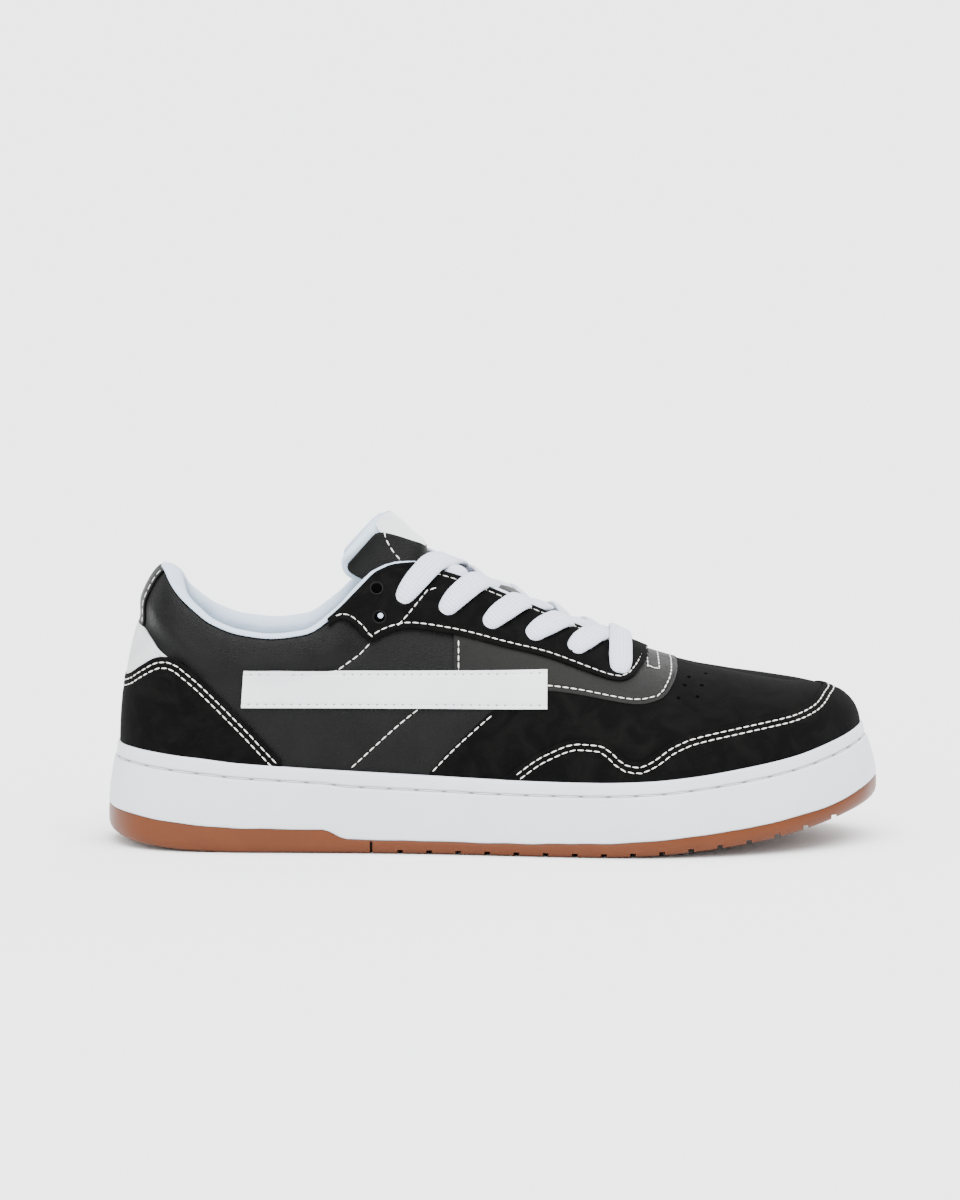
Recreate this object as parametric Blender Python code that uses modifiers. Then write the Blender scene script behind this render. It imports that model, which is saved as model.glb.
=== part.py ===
# Skateboarding shoe, right foot: a low upper on a cupsole.
# +X is the toe, -Y the outer (lateral) side, +Z up. The origin lies on the floor, under the middle.
# Units are metres.

import bisect
import math

import bmesh
import bpy
from mathutils import Vector

MM = 0.001

# Driving sizes
LENGTH = 300 * MM
BALL_WIDTH = 108 * MM
HEEL_WIDTH = 80 * MM
TOE_BOX_HEIGHT = 61 * MM
COLLAR_HEIGHT = 107 * MM
INSTEP_RISE = 17 * MM
INSTEP_HEIGHT = COLLAR_HEIGHT + INSTEP_RISE
TONGUE_RISE = 12 * MM
TONGUE_DROP = 3.4 * MM
THROAT_WIDTH = 32 * MM
TOE_SPRING = 17 * MM
HEEL_BEVEL = 5 * MM
OUTSOLE_THICKNESS = 5.5 * MM
OUTSOLE_ROUNDING = 3.2 * MM
HEEL_STEP = 3.4 * MM
SIDEWALL_HEIGHT = 24 * MM
FOOTBED_RISE = 13 * MM
SIDEWALL_LEAN = 1.5 * MM
LIP = 2.6 * MM
STITCH_GROOVE = 0.9 * MM
CUP_ROUNDING = 0.5 * MM
WALL = 2.2 * MM
COLLAR_PADDING = 7.5 * MM
INSOLE_THICKNESS = 4.0 * MM
OVERLAY = 1.2 * MM
TONGUE_THICKNESS = 5.0 * MM
LACE_WIDTH = 8.5 * MM
LACE_THICKNESS = 2.4 * MM
LACE_STAGGER = 0.3 * MM
LACE_RISE = 1.0 * MM
BAND_HEIGHT = 56 * MM
BAND_WIDTH = 14 * MM
TREAD_PITCH = 11.2 * MM
TREAD_GROOVE = 2.2 * MM
TREAD_DEPTH = 1.8 * MM
TREAD_CLEARANCE = 4 * MM
GAP = 0.3 * MM
CUP_TUCK = 2 * MM
TONGUE_GAP = 0.9 * MM
OVERLAY_GAP = 0.7 * MM
PATCH_GAP = 1.5 * MM

# How finely the forms are drawn
RUN_STEPS = 36
LADDER = 4
CLIMB_STEPS = 8

# Half outlines of the sole. A run of 0 is the back of the heel, and 1 the tip of the toe.
# Along is a share of the length, lateral and medial are shares of the width named last.
OUTLINE = [
    # run, along, lateral, medial, of
    (0.00, 0.000, 0.000, 0.000, HEEL_WIDTH),
    (0.05, 0.009, 0.200, 0.200, HEEL_WIDTH),
    (0.10, 0.036, 0.355, 0.358, HEEL_WIDTH),
    (0.16, 0.083, 0.450, 0.452, HEEL_WIDTH),
    (0.24, 0.160, 0.492, 0.486, HEEL_WIDTH),
    (0.32, 0.250, 0.505, 0.478, HEEL_WIDTH),
    (0.40, 0.343, 0.520, 0.468, HEEL_WIDTH),
    (0.48, 0.437, 0.410, 0.357, BALL_WIDTH),
    (0.56, 0.533, 0.453, 0.392, BALL_WIDTH),
    (0.64, 0.623, 0.490, 0.450, BALL_WIDTH),
    (0.72, 0.710, 0.503, 0.490, BALL_WIDTH),
    (0.79, 0.793, 0.472, 0.497, BALL_WIDTH),
    (0.85, 0.867, 0.405, 0.467, BALL_WIDTH),
    (0.90, 0.923, 0.312, 0.405, BALL_WIDTH),
    (0.94, 0.962, 0.205, 0.310, BALL_WIDTH),
    (0.97, 0.988, 0.090, 0.190, BALL_WIDTH),
    (1.00, 1.000, -0.056, 0.056, BALL_WIDTH),
]

# Side view of the sole. Along is a share of the length, the others are shares of the sizes that
# the columns name: toe spring, heel bevel, outsole thickness, side wall height, footbed rise, lean.
SOLE = [
    # along, spring, bevel, gum, wall, bed, lean
    (0.000, 0.00, 1.00, 1.20, 1.16, 0.88, 2.1),
    (0.040, 0.00, 0.48, 1.40, 1.20, 0.92, 2.0),
    (0.110, 0.00, 0.10, 1.27, 1.22, 1.00, 1.4),
    (0.175, 0.00, 0.00, 1.15, 1.18, 1.04, 1.1),
    (0.280, 0.00, 0.00, 1.07, 1.11, 1.00, 1.0),
    (0.370, 0.00, 0.00, 1.00, 1.07, 0.92, 1.0),
    (0.500, 0.00, 0.00, 0.93, 1.02, 0.77, 1.0),
    (0.630, 0.00, 0.00, 1.05, 0.97, 0.58, 1.0),
    (0.700, 0.04, 0.00, 1.09, 0.96, 0.50, 1.0),
    (0.760, 0.13, 0.00, 1.16, 0.95, 0.45, 1.1),
    (0.830, 0.28, 0.00, 1.21, 0.96, 0.43, 1.3),
    (0.890, 0.47, 0.00, 1.16, 0.97, 0.44, 1.6),
    (0.945, 0.71, 0.00, 1.10, 1.00, 0.45, 2.3),
    (0.980, 0.89, 0.00, 1.30, 0.97, 0.38, 3.1),
    (1.000, 1.00, 0.00, 1.45, 0.93, 0.31, 3.4),
]

# Where the step between the heel's gum and the rest begins and ends, as shares of the length
HEEL_STEP_ALONG = (0.280, 0.312)

# Crown of the last above each place of the outline. Height is a share from the toe box (0) to the
# instep (1), across is a share of the ball width, and fullness squares the section.
CROWN = [
    # run, along, across, height, fullness
    (0.00, 0.150, 0.000, 1.000, 2.00),
    (0.10, 0.170, 0.000, 1.000, 2.00),
    (0.16, 0.192, 0.000, 1.000, 1.98),
    (0.24, 0.228, 0.003, 1.000, 1.95),
    (0.32, 0.282, 0.006, 1.000, 1.90),
    (0.40, 0.350, 0.010, 0.990, 1.84),
    (0.48, 0.437, 0.015, 0.845, 1.78),
    (0.56, 0.533, 0.020, 0.610, 1.76),
    (0.64, 0.623, 0.025, 0.375, 1.80),
    (0.72, 0.706, 0.030, 0.185, 1.90),
    (0.79, 0.770, 0.036, 0.100, 2.05),
    (0.85, 0.812, 0.042, 0.060, 2.20),
    (0.90, 0.842, 0.047, 0.032, 2.32),
    (0.94, 0.864, 0.050, 0.014, 2.38),
    (0.97, 0.877, 0.051, 0.004, 2.40),
    (1.00, 0.883, 0.052, 0.000, 2.40),
]

# Height of the collar's edge, as a share of the collar height at the back of the heel.
COLLAR = [
    # run, height
    (0.00, 1.000),
    (0.05, 0.975),
    (0.10, 0.915),
    (0.16, 0.845),
    (0.20, 0.802),
    (0.24, 0.777),
    (0.28, 0.767),
    (0.32, 0.780),
    (0.36, 0.860),
    (0.385, 0.945),
    (0.405, 1.000),
    (0.43, 1.020),
]

# Half width of the throat between the facings, as a share of half the throat width.
THROAT = [
    # run, half width
    (0.43, 1.00),
    (0.50, 0.97),
    (0.60, 0.88),
    (0.68, 0.74),
]
THROAT_RUNS = {"top": 0.43, "square": 0.665, "end": 0.695}

# Eyelets from the toe back: the place of each one, and its climb up the section.
EYELETS = [
    # run, climb
    (0.675, 0.609),
    (0.621, 0.625),
    (0.573, 0.602),
    (0.527, 0.576),
    (0.481, 0.564),
    (0.434, 0.554),
]

# The tongue lies under the throat and runs on above the collar. Drop, lift and lean are shares of
# the sizes TONGUE_DROP and TONGUE_RISE, edge is the climb of its side edges, and flare widens it.
TONGUE = [
    # share, run, drop, edge, lift, lean, flare
    (0.00, 0.735, 0.00, 0.72, 0.00, 0.00, 1.00),
    (0.22, 0.665, 0.30, 0.68, 0.00, 0.00, 1.00),
    (0.45, 0.570, 1.00, 0.62, 0.00, 0.00, 1.00),
    (0.62, 0.510, 1.00, 0.62, 0.00, 0.00, 1.00),
    (0.76, 0.465, 0.65, 0.62, 0.00, 0.85, 0.88),
    (0.86, 0.443, 0.40, 0.60, 0.08, 1.30, 0.86),
    (1.00, 0.435, 0.00, 0.59, 1.00, 0.76, 0.88),
]

# Edges of the overlays, as shares of the rise from the cup's edge (0) to the crown (1).
TOE_OVERLAY = [
    # run, top
    (0.541, 0.03),
    (0.586, 0.20),
    (0.628, 0.30),
    (0.654, 0.31),
    (0.667, 0.28),
    (0.686, 0.20),
    (0.698, 0.19),
    (0.709, 0.22),
    (0.736, 0.35),
    (0.761, 0.43),
    (0.802, 0.50),
    (0.845, 0.56),
    (0.880, 0.61),
    (0.909, 0.68),
    (0.959, 0.86),
    (1.000, 0.92),
]
HEEL_COUNTER = [
    # run, top
    (0.000, 0.31),
    (0.060, 0.37),
    (0.114, 0.44),
    (0.164, 0.42),
    (0.202, 0.36),
    (0.254, 0.21),
    (0.296, 0.05),
]
HEEL_TAB = [
    # run, top
    (0.000, 0.55),
    (0.060, 0.52),
    (0.104, 0.47),
]
EYESTAY = [
    # run, low
    (0.349, 0.60),
    (0.366, 0.63),
    (0.382, 0.60),
    (0.397, 0.55),
    (0.412, 0.58),
    (0.428, 0.61),
    (0.444, 0.63),
    (0.491, 0.655),
    (0.537, 0.675),
    (0.606, 0.715),
    (0.669, 0.72),
    (0.687, 0.75),
    (0.700, 0.84),
    (0.710, 0.92),
]
VAMP_PATCH = [
    # run, low
    (0.598, 0.545),
    (0.627, 0.57),
    (0.660, 0.59),
    (0.696, 0.62),
    (0.729, 0.71),
    (0.744, 0.88),
    (0.750, 0.95),
]


# Reading of tables

def slopes(places, values, level_peaks):
    steps = []
    for index in range(len(places) - 1):
        steps.append((values[index + 1] - values[index]) / (places[index + 1] - places[index]))
    inner = []
    for before, after in zip(steps, steps[1:]):
        if not level_peaks:
            inner.append((before + after) / 2)
        elif before * after <= 0:
            inner.append(0.0)
        else:
            inner.append(2 * before * after / (before + after))
    return [steps[0]] + inner + [steps[-1]]


COLUMNS = {}


def column_of(rows, column, level_peaks):
    """Places, values and slopes of one column of a table, worked out once."""
    key = (id(rows), column, level_peaks)
    if key not in COLUMNS:
        places = [row[0] for row in rows]
        values = [row[column] for row in rows]
        COLUMNS[key] = (places, values, slopes(places, values, level_peaks))
    return COLUMNS[key]


def read(rows, column, at, level_peaks=True):
    """Smooth reading of one column of a table, between its rows' first column."""
    places, values, tilt = column_of(rows, column, level_peaks)
    if at <= places[0]:
        return values[0]
    if at >= places[-1]:
        return values[-1]
    index = bisect.bisect_right(places, at) - 1
    span = places[index + 1] - places[index]
    u = (at - places[index]) / span
    return (
        (2 * u**3 - 3 * u**2 + 1) * values[index]
        + (u**3 - 2 * u**2 + u) * span * tilt[index]
        + (3 * u**2 - 2 * u**3) * values[index + 1]
        + (u**3 - u**2) * span * tilt[index + 1]
    )


# Plan of the sole: a loop that runs 0 to 1 up the lateral side and 1 to 2 back down the medial one

def outline_loop():
    lateral = [(run, along * LENGTH, -side * of) for run, along, side, _, of in OUTLINE]
    medial = [(2 - run, along * LENGTH, side * of) for run, along, _, side, of in OUTLINE[-2:0:-1]]
    loop = lateral + medial
    before = [(place - 2, x, y) for place, x, y in loop[-2:]]
    after = [(place + 2, x, y) for place, x, y in loop[:3]]
    return before + loop + after


LOOP = outline_loop()
MIDLINE = (max(row[2] for row in LOOP) + min(row[2] for row in LOOP)) / 2


def plan(place):
    x = read(LOOP, 1, place, level_peaks=False) - LENGTH / 2
    y = read(LOOP, 2, place, level_peaks=False) - MIDLINE
    return Vector((x, y, 0))


def along_share(x):
    return min(1.0, max(0.0, (x + LENGTH / 2) / LENGTH))


def sole_size(column, x):
    return read(SOLE, column, along_share(x))


def tread_height(x):
    return sole_size(1, x) * TOE_SPRING + sole_size(2, x) * HEEL_BEVEL


def seam_height(x):
    """Line between the gum and the white rubber, with the step down in front of the heel."""
    fade = min(1.0, max(0.0, (HEEL_STEP_ALONG[1] - along_share(x)) / (HEEL_STEP_ALONG[1] - HEEL_STEP_ALONG[0])))
    step = HEEL_STEP * fade * fade * (3 - 2 * fade)
    return tread_height(x) + sole_size(3, x) * OUTSOLE_THICKNESS + step


def base_height(x):
    return tread_height(x) + sole_size(3, x) * OUTSOLE_THICKNESS


def edge_height(x):
    return base_height(x) + sole_size(4, x) * SIDEWALL_HEIGHT


def footbed_height(x):
    return base_height(x) + sole_size(5, x) * FOOTBED_RISE


def lean(x):
    return sole_size(6, x) * SIDEWALL_LEAN


def inset_point(place, inset):
    """Point of the plan, moved inwards square to the outline."""
    step = 0.004
    tangent = plan(place + step) - plan(place - step)
    inwards = Vector((-tangent.y, tangent.x, 0)).normalized()
    return plan(place) + inwards * inset


def sole_point(place, inset, lean_share, height):
    """Point of a ring of the sole. Height is a function of x."""
    spot = plan(place)
    point = inset_point(place, inset + lean_share * lean(spot.x))
    point.z = height(point.x)
    return point


# The upper's outer face: over each place of the outline a section climbs from the cup to the crown

def upper_run(place):
    return place if place <= 1 else 2 - place


def upper_foot(place):
    spot = sole_point(place, LIP + GAP, 1.0, edge_height)
    spot.z -= CUP_TUCK
    return spot


def upper_crown(place):
    run = upper_run(place)
    x = read(CROWN, 1, run) * LENGTH - LENGTH / 2
    y = read(CROWN, 2, run) * BALL_WIDTH - MIDLINE
    z = TOE_BOX_HEIGHT + read(CROWN, 3, run) * (INSTEP_HEIGHT - TOE_BOX_HEIGHT)
    return Vector((x, y, z))


def climb_of_rise(place, rise):
    """Angle share of a section at a share of its height."""
    fullness = read(CROWN, 4, upper_run(place))
    rise = min(1.0, max(0.0, rise))
    return math.asin(rise ** (fullness / 2)) / (math.pi / 2)


def upper_point(place, climb):
    """Climb runs from -1 at the footbed, 0 at the cup's edge, to 1 at the crown."""
    foot = upper_foot(place)
    if climb < 0:
        low = footbed_height(foot.x) + GAP
        return Vector((foot.x, foot.y, foot.z + (foot.z - low) * climb))
    crown = upper_crown(place)
    fullness = read(CROWN, 4, upper_run(place))
    angle = climb * math.pi / 2
    out = max(0.0, math.cos(angle)) ** (2 / fullness)
    up = max(0.0, math.sin(angle)) ** (2 / fullness)
    if climb >= 1:
        out = 0.0
    x = crown.x + (foot.x - crown.x) * out
    y = crown.y + (foot.y - crown.y) * out
    return Vector((x, y, foot.z + (crown.z - foot.z) * up))


def upper_normal(place, climb):
    step = 0.006
    along = upper_point(place + step, climb) - upper_point(place - step, climb)
    low = max(climb - step, 0.0)
    high = min(climb + step, 0.999)
    upwards = upper_point(place, high) - upper_point(place, low)
    return along.cross(upwards).normalized()


def throat_half_width(run):
    width = read(THROAT, 1, run) * THROAT_WIDTH / 2
    if run > THROAT_RUNS["square"]:
        turn = min(1.0, (run - THROAT_RUNS["square"]) / (THROAT_RUNS["end"] - THROAT_RUNS["square"]))
        width *= math.sqrt(1 - turn * turn)
    return width


def rim_climb(place):
    """Climb of the upper's edge: the collar, then the throat, then closed over the vamp."""
    run = upper_run(place)
    if run >= THROAT_RUNS["end"]:
        return 1.0
    foot = upper_foot(place)
    crown = upper_crown(place)
    if run < THROAT_RUNS["top"]:
        height = read(COLLAR, 1, run) * COLLAR_HEIGHT
        return climb_of_rise(place, (height - foot.z) / (crown.z - foot.z))
    fullness = read(CROWN, 4, run)
    reach = math.hypot(foot.x - crown.x, foot.y - crown.y)
    share = min(1.0, throat_half_width(run) / reach)
    return math.acos(share ** (fullness / 2)) / (math.pi / 2)


def run_stations():
    """Even steps from heel to toe, with closer ones where the throat's front turns."""
    runs = {round(step / RUN_STEPS, 5) for step in range(RUN_STEPS + 1)}
    turn = THROAT_RUNS["end"] - THROAT_RUNS["square"]
    close = [THROAT_RUNS["square"] + turn * share for share in (0.0, 0.5, 0.8, 1.0)]
    runs = {run for run in runs if all(abs(run - spot) > 0.009 for spot in close)}
    return sorted(runs | set(close))


RUNS = run_stations()
PLACES = RUNS + [2 - run for run in RUNS[-2:0:-1]]


# Making of objects

def fresh_collection(name):
    collection = bpy.data.collections.new(name)
    bpy.context.scene.collection.children.link(collection)
    return collection


def material(name, color, roughness, metallic=0.0):
    paint = bpy.data.materials.new(name)
    paint.use_nodes = True
    shader = paint.node_tree.nodes["Principled BSDF"]
    shader.inputs["Base Color"].default_value = (*color, 1)
    shader.inputs["Roughness"].default_value = roughness
    shader.inputs["Metallic"].default_value = metallic
    return paint


def finish(bm, name, collection, paint):
    mesh = bpy.data.meshes.new(name)
    bm.to_mesh(mesh)
    bm.free()
    mesh.materials.append(paint)
    mesh.shade_smooth()
    mesh.set_sharp_from_angle(angle=math.radians(40))
    piece = bpy.data.objects.new(name, mesh)
    collection.objects.link(piece)
    return piece


def solidify(piece, thickness, offset):
    wall = piece.modifiers.new("wall", "SOLIDIFY")
    wall.thickness = thickness
    wall.offset = offset
    return wall


def loft(name, rings, collection, paint):
    """Closed solid through rings that follow the sole's plan, with a ladder of faces at each end."""
    bm = bmesh.new()
    loops = [[bm.verts.new(ring(place)) for place in PLACES] for ring in rings]
    count = len(PLACES)
    for low, high in zip(loops, loops[1:]):
        for index in range(count):
            after = (index + 1) % count
            bm.faces.new((low[index], low[after], high[after], high[index]))
    for loop, upwards in ((loops[0], False), (loops[-1], True)):
        close_with_ladder(bm, loop, upwards)
    return finish(bm, name, collection, paint)


def close_with_ladder(bm, loop, upwards):
    toe = len(RUNS) - 1
    rungs = [[loop[0]] * (LADDER + 1)]
    for index in range(1, toe):
        lateral = loop[index]
        medial = loop[-index]
        rung = [lateral]
        for step in range(1, LADDER):
            rung.append(bm.verts.new(lateral.co.lerp(medial.co, step / LADDER)))
        rungs.append(rung + [medial])
    rungs.append([loop[toe]] * (LADDER + 1))
    for back, front in zip(rungs, rungs[1:]):
        for step in range(LADDER):
            corners = [back[step], front[step], front[step + 1], back[step + 1]]
            corners = list(dict.fromkeys(corners))
            bm.faces.new(corners if upwards else corners[::-1])


# Sub-parts

def tread_cutters(collection, paint):
    """Cross grooves of the sole, every tread pitch from the slit in front of the heel to the toe."""
    slit = 0.343 * LENGTH - LENGTH / 2
    count = int((LENGTH / 2 - slit - TREAD_PITCH) / TREAD_PITCH)
    bm = bmesh.new()
    for index in range(count + 1):
        x = slit + index * TREAD_PITCH
        bottom = tread_height(x) - TREAD_CLEARANCE
        depth = TREAD_DEPTH + TREAD_CLEARANCE
        box = bmesh.ops.create_cube(bm, size=1)
        for vert in box["verts"]:
            vert.co.x = vert.co.x * TREAD_GROOVE + x
            vert.co.y *= BALL_WIDTH * 1.2
            vert.co.z = (vert.co.z + 0.5) * depth + bottom
    cutter = finish(bm, "tread_grooves", collection, paint)
    cutter.hide_render = True
    cutter.display_type = "WIRE"
    return cutter


def make_outsole(collection, cutters):
    gum = material("gum_rubber", (0.45, 0.18, 0.08), 0.55)
    def low(place):
        return sole_point(place, OUTSOLE_ROUNDING, 0.0, tread_height)

    def turned(place):
        def height(x):
            return tread_height(x) + OUTSOLE_ROUNDING * 0.3
        return sole_point(place, OUTSOLE_ROUNDING * 0.28, 0.0, height)

    def side(place):
        return sole_point(place, 0.0, 0.0, lambda x: tread_height(x) + OUTSOLE_ROUNDING * 1.05)

    def top(place):
        return sole_point(place, 0.0, 0.0, lambda x: seam_height(x) - GAP)

    outsole = loft("outsole", [low, turned, side, top], collection, gum)
    cut = outsole.modifiers.new("grooves", "BOOLEAN")
    cut.operation = "DIFFERENCE"
    cut.solver = "EXACT"
    cut.object = tread_cutters(cutters, gum)
    return outsole


def make_midsole(collection):
    white = material("white_rubber", (0.82, 0.83, 0.85), 0.5)

    def wall_ring(share, inset, lean_share):
        def height(x):
            return seam_height(x) + share * (edge_height(x) - seam_height(x))
        return lambda place: sole_point(place, inset, lean_share, height)

    rings = [
        wall_ring(0.00, CUP_ROUNDING * 0.8, 0.0),
        wall_ring(0.08, 0.0, 0.0),
        wall_ring(0.50, 0.0, 0.35),
        wall_ring(0.72, 0.0, 0.65),
        wall_ring(0.75, STITCH_GROOVE, 0.70),
        wall_ring(0.79, STITCH_GROOVE, 0.75),
        wall_ring(0.82, 0.0, 0.80),
        wall_ring(0.96, 0.0, 0.95),
        wall_ring(1.00, CUP_ROUNDING, 1.0),
        wall_ring(1.00, LIP, 1.0),
        lambda place: sole_point(place, LIP, 1.0, footbed_height),
    ]
    return loft("midsole", rings, collection, white)


def make_insole(collection):
    foam = material("insole_foam", (0.75, 0.78, 0.82), 0.85)
    inset = LIP + GAP + WALL + 2 * GAP

    def low(place):
        return sole_point(place, inset, 1.0, lambda x: footbed_height(x) + GAP)

    def high(place):
        return sole_point(place, inset, 1.0, lambda x: footbed_height(x) + GAP + INSOLE_THICKNESS)

    return loft("insole", [low, high], collection, foam)


def make_upper(collection):
    leather = material("black_leather", (0.03, 0.03, 0.03), 0.45)
    skirt = 1
    rows = skirt + CLIMB_STEPS
    bm = bmesh.new()
    columns = len(PLACES)
    bmesh.ops.create_grid(bm, x_segments=columns, y_segments=rows, size=0.5)
    for vert in bm.verts:
        place = PLACES[round((vert.co.x + 0.5) * columns) % columns]
        row = round((vert.co.y + 0.5) * rows)
        climb = -1.0 if row < skirt else rim_climb(place) * (row - skirt) / CLIMB_STEPS
        vert.co = upper_point(place, climb)
    bmesh.ops.remove_doubles(bm, verts=bm.verts, dist=0.02 * MM)
    upper = finish(bm, "upper", collection, leather)
    padding = upper.vertex_groups.new(name="padding")
    for vert in upper.data.vertices:
        padding.add([vert.index], padding_share(vert.co), "REPLACE")
    wall = solidify(upper, COLLAR_PADDING, -1)
    wall.vertex_group = "padding"
    wall.thickness_vertex_group = 0.0
    return upper


def padding_share(point):
    """Share of the collar padding: the whole of it near the collar's edge, the plain wall elsewhere."""
    thin = WALL / COLLAR_PADDING
    collar_front = upper_crown(THROAT_RUNS["top"]).x - 0.06 * LENGTH
    ahead = min(1.0, max(0.0, (collar_front - point.x) / (0.06 * LENGTH)))
    low = 0.50 * COLLAR_HEIGHT
    above = min(1.0, max(0.0, (point.z - low) / (0.2 * COLLAR_HEIGHT)))
    return thin + (1 - thin) * ahead * above


def make_tongue(collection):
    white = material("tongue_padding", (0.75, 0.80, 0.86), 0.8)
    rows = 14
    columns = 10
    bm = bmesh.new()
    bmesh.ops.create_grid(bm, x_segments=rows, y_segments=columns, size=0.5)
    for vert in bm.verts:
        share = 0.5 - vert.co.x
        across = vert.co.y * 2
        vert.co = tongue_point(share, across)
    tongue = finish(bm, "tongue", collection, white)
    solidify(tongue, TONGUE_THICKNESS, -1)
    return tongue


def tongue_point(share, across):
    """Outer face of the tongue. Across runs from -1 at the lateral edge to 1 at the medial one."""
    run = read(TONGUE, 1, share)
    place = run if across < 0 else 2 - run
    climb = 1 - (1 - read(TONGUE, 3, share)) * abs(across)
    middle = (1 - across * across) ** 2
    inwards = WALL + TONGUE_GAP + read(TONGUE, 2, share) * TONGUE_DROP * middle
    spot = upper_point(place, climb) - upper_normal(place, climb) * inwards
    lift = read(TONGUE, 4, share) * TONGUE_RISE
    spot.x -= read(TONGUE, 5, share) * (upper_crown(place).z - spot.z)
    spot.y *= read(TONGUE, 6, share)
    return spot + Vector((-0.5 * lift, 0, lift))


def on_tongue(name, shares, reach, lift, thickness, collection, paint):
    """Small sheet lying on the tongue, between two shares of its length."""
    rows = 4
    columns = 6
    bm = bmesh.new()
    bmesh.ops.create_grid(bm, x_segments=rows, y_segments=columns, size=0.5)
    for vert in bm.verts:
        share = shares[0] + (shares[1] - shares[0]) * (0.5 - vert.co.x)
        vert.co = tongue_point(share, vert.co.y * 2 * reach)
    bm.normal_update()
    moved = [(vert, vert.co + vert.normal * lift) for vert in bm.verts]
    for vert, spot in moved:
        vert.co = spot
    piece = finish(bm, name, collection, paint)
    solidify(piece, thickness, 1)
    return piece


def strip(name, places, low, high, rows, collection, paint, both_sides=False, lift=OVERLAY_GAP):
    """Overlay on the upper's own face, between two climbs that are functions of the place."""
    bm = bmesh.new()
    sides = [places, [2 - place for place in places[::-1]]] if both_sides else [places]
    for side in sides:
        columns = len(side) - 1
        grid = bmesh.ops.create_grid(bm, x_segments=columns, y_segments=rows, size=0.5)
        for vert in grid["verts"]:
            place = side[round((vert.co.x + 0.5) * columns)]
            share = round((vert.co.y + 0.5) * rows) / rows
            climb = low(place) + (high(place) - low(place)) * share
            vert.co = upper_point(place, climb) + upper_normal(place, climb) * lift
    bmesh.ops.remove_doubles(bm, verts=bm.verts, dist=0.05 * MM)
    piece = finish(bm, name, collection, paint)
    solidify(piece, OVERLAY, 1)
    return piece


def stations_between(first, last):
    return [first] + [run for run in RUNS if first + 0.006 < run < last - 0.006] + [last]


def around_toe(first):
    side = stations_between(first, 1.0)
    return side + [2 - run for run in side[-2::-1]]


def around_heel(last):
    side = stations_between(0.0, last)
    return [2 - run for run in side[:0:-1]] + side


def edge_climb(table, place, shift=0.0):
    """Climb of an overlay's edge, moved up or down by a length."""
    foot = upper_foot(place)
    crown = upper_crown(place)
    rise = read(table, 1, upper_run(place)) + shift / (crown.z - foot.z)
    return climb_of_rise(place, rise)


def above_cup(place):
    """Lowest climb at which an overlay clears the lip of the cup."""
    foot = upper_foot(place)
    return climb_of_rise(place, (CUP_TUCK + 2 * GAP) / (upper_crown(place).z - foot.z))


def make_toe_overlay(collection, suede):
    def top(place):
        return max(above_cup(place) + 0.01, edge_climb(TOE_OVERLAY, place))

    strip("toe_overlay", around_toe(TOE_OVERLAY[0][0]), above_cup, top, 4, collection, suede)


def make_heel_pieces(collection, suede, white):
    def top(place):
        return max(above_cup(place) + 0.01, edge_climb(HEEL_COUNTER, place))

    def tab_low(place):
        return edge_climb(HEEL_COUNTER, place, 2 * GAP)

    def tab_top(place):
        return edge_climb(HEEL_TAB, place)

    strip("heel_counter", around_heel(HEEL_COUNTER[-1][0]), above_cup, top, 3, collection, suede)
    strip("heel_tab", around_heel(HEEL_TAB[-1][0]), tab_low, tab_top, 3, collection, white)


def make_facings(collection, suede, leather):
    front = EYESTAY[-1][0]

    def low(place):
        return edge_climb(EYESTAY, place)

    def patch_low(place):
        return edge_climb(VAMP_PATCH, place)

    def patch_high(place):
        if upper_run(place) > front:
            return 1.0
        return edge_climb(EYESTAY, place, -4 * GAP)

    turn = [(THROAT_RUNS["end"] + front) / 2, front]
    places = stations_between(EYESTAY[0][0], THROAT_RUNS["end"]) + turn
    strip("eyestay", places, low, rim_climb, 5, collection, suede, both_sides=True)
    first = VAMP_PATCH[0][0]
    last = VAMP_PATCH[-1][0]
    ahead = front + 0.008
    places = stations_between(first, THROAT_RUNS["end"]) + turn + [ahead, ahead + 0.008, (ahead + last) / 2 + 0.006, last]
    strip("vamp_patch", places, patch_low, patch_high, 6, collection, leather, True, PATCH_GAP)


def make_side_bands(collection, white):
    """One straight band of even width on each side, level with the floor."""
    def band_climb(place, height):
        foot = upper_foot(place)
        return climb_of_rise(place, (height - foot.z) / (upper_crown(place).z - foot.z))

    def low(place):
        return band_climb(place, BAND_HEIGHT)

    def high(place):
        return band_climb(place, BAND_HEIGHT + BAND_WIDTH)

    places = stations_between(0.252, 0.590)
    strip("side_band_lateral", places, low, high, 2, collection, white)
    mirrored = [2 - place for place in places[::-1]]
    strip("side_band_medial", mirrored, low, high, 2, collection, white)


# Height of a lace's middle above the crown of the last, for the bar and for each crossing, as
# shares of the lace rise.
LACE_CROWN = [3.4, -0.6, -2.6, -3.6, -3.6, -2.0]
# Shares of a strand's way between which it leaves the facing for its height over the tongue.
LACE_DIP = (0.26, 0.46)
# How far each of them bows towards the toe at its middle, in runs.
LACE_BOW = [0.0, 0.010, 0.022, 0.022, 0.022, 0.022]
LACE_STEPS = 8


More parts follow.
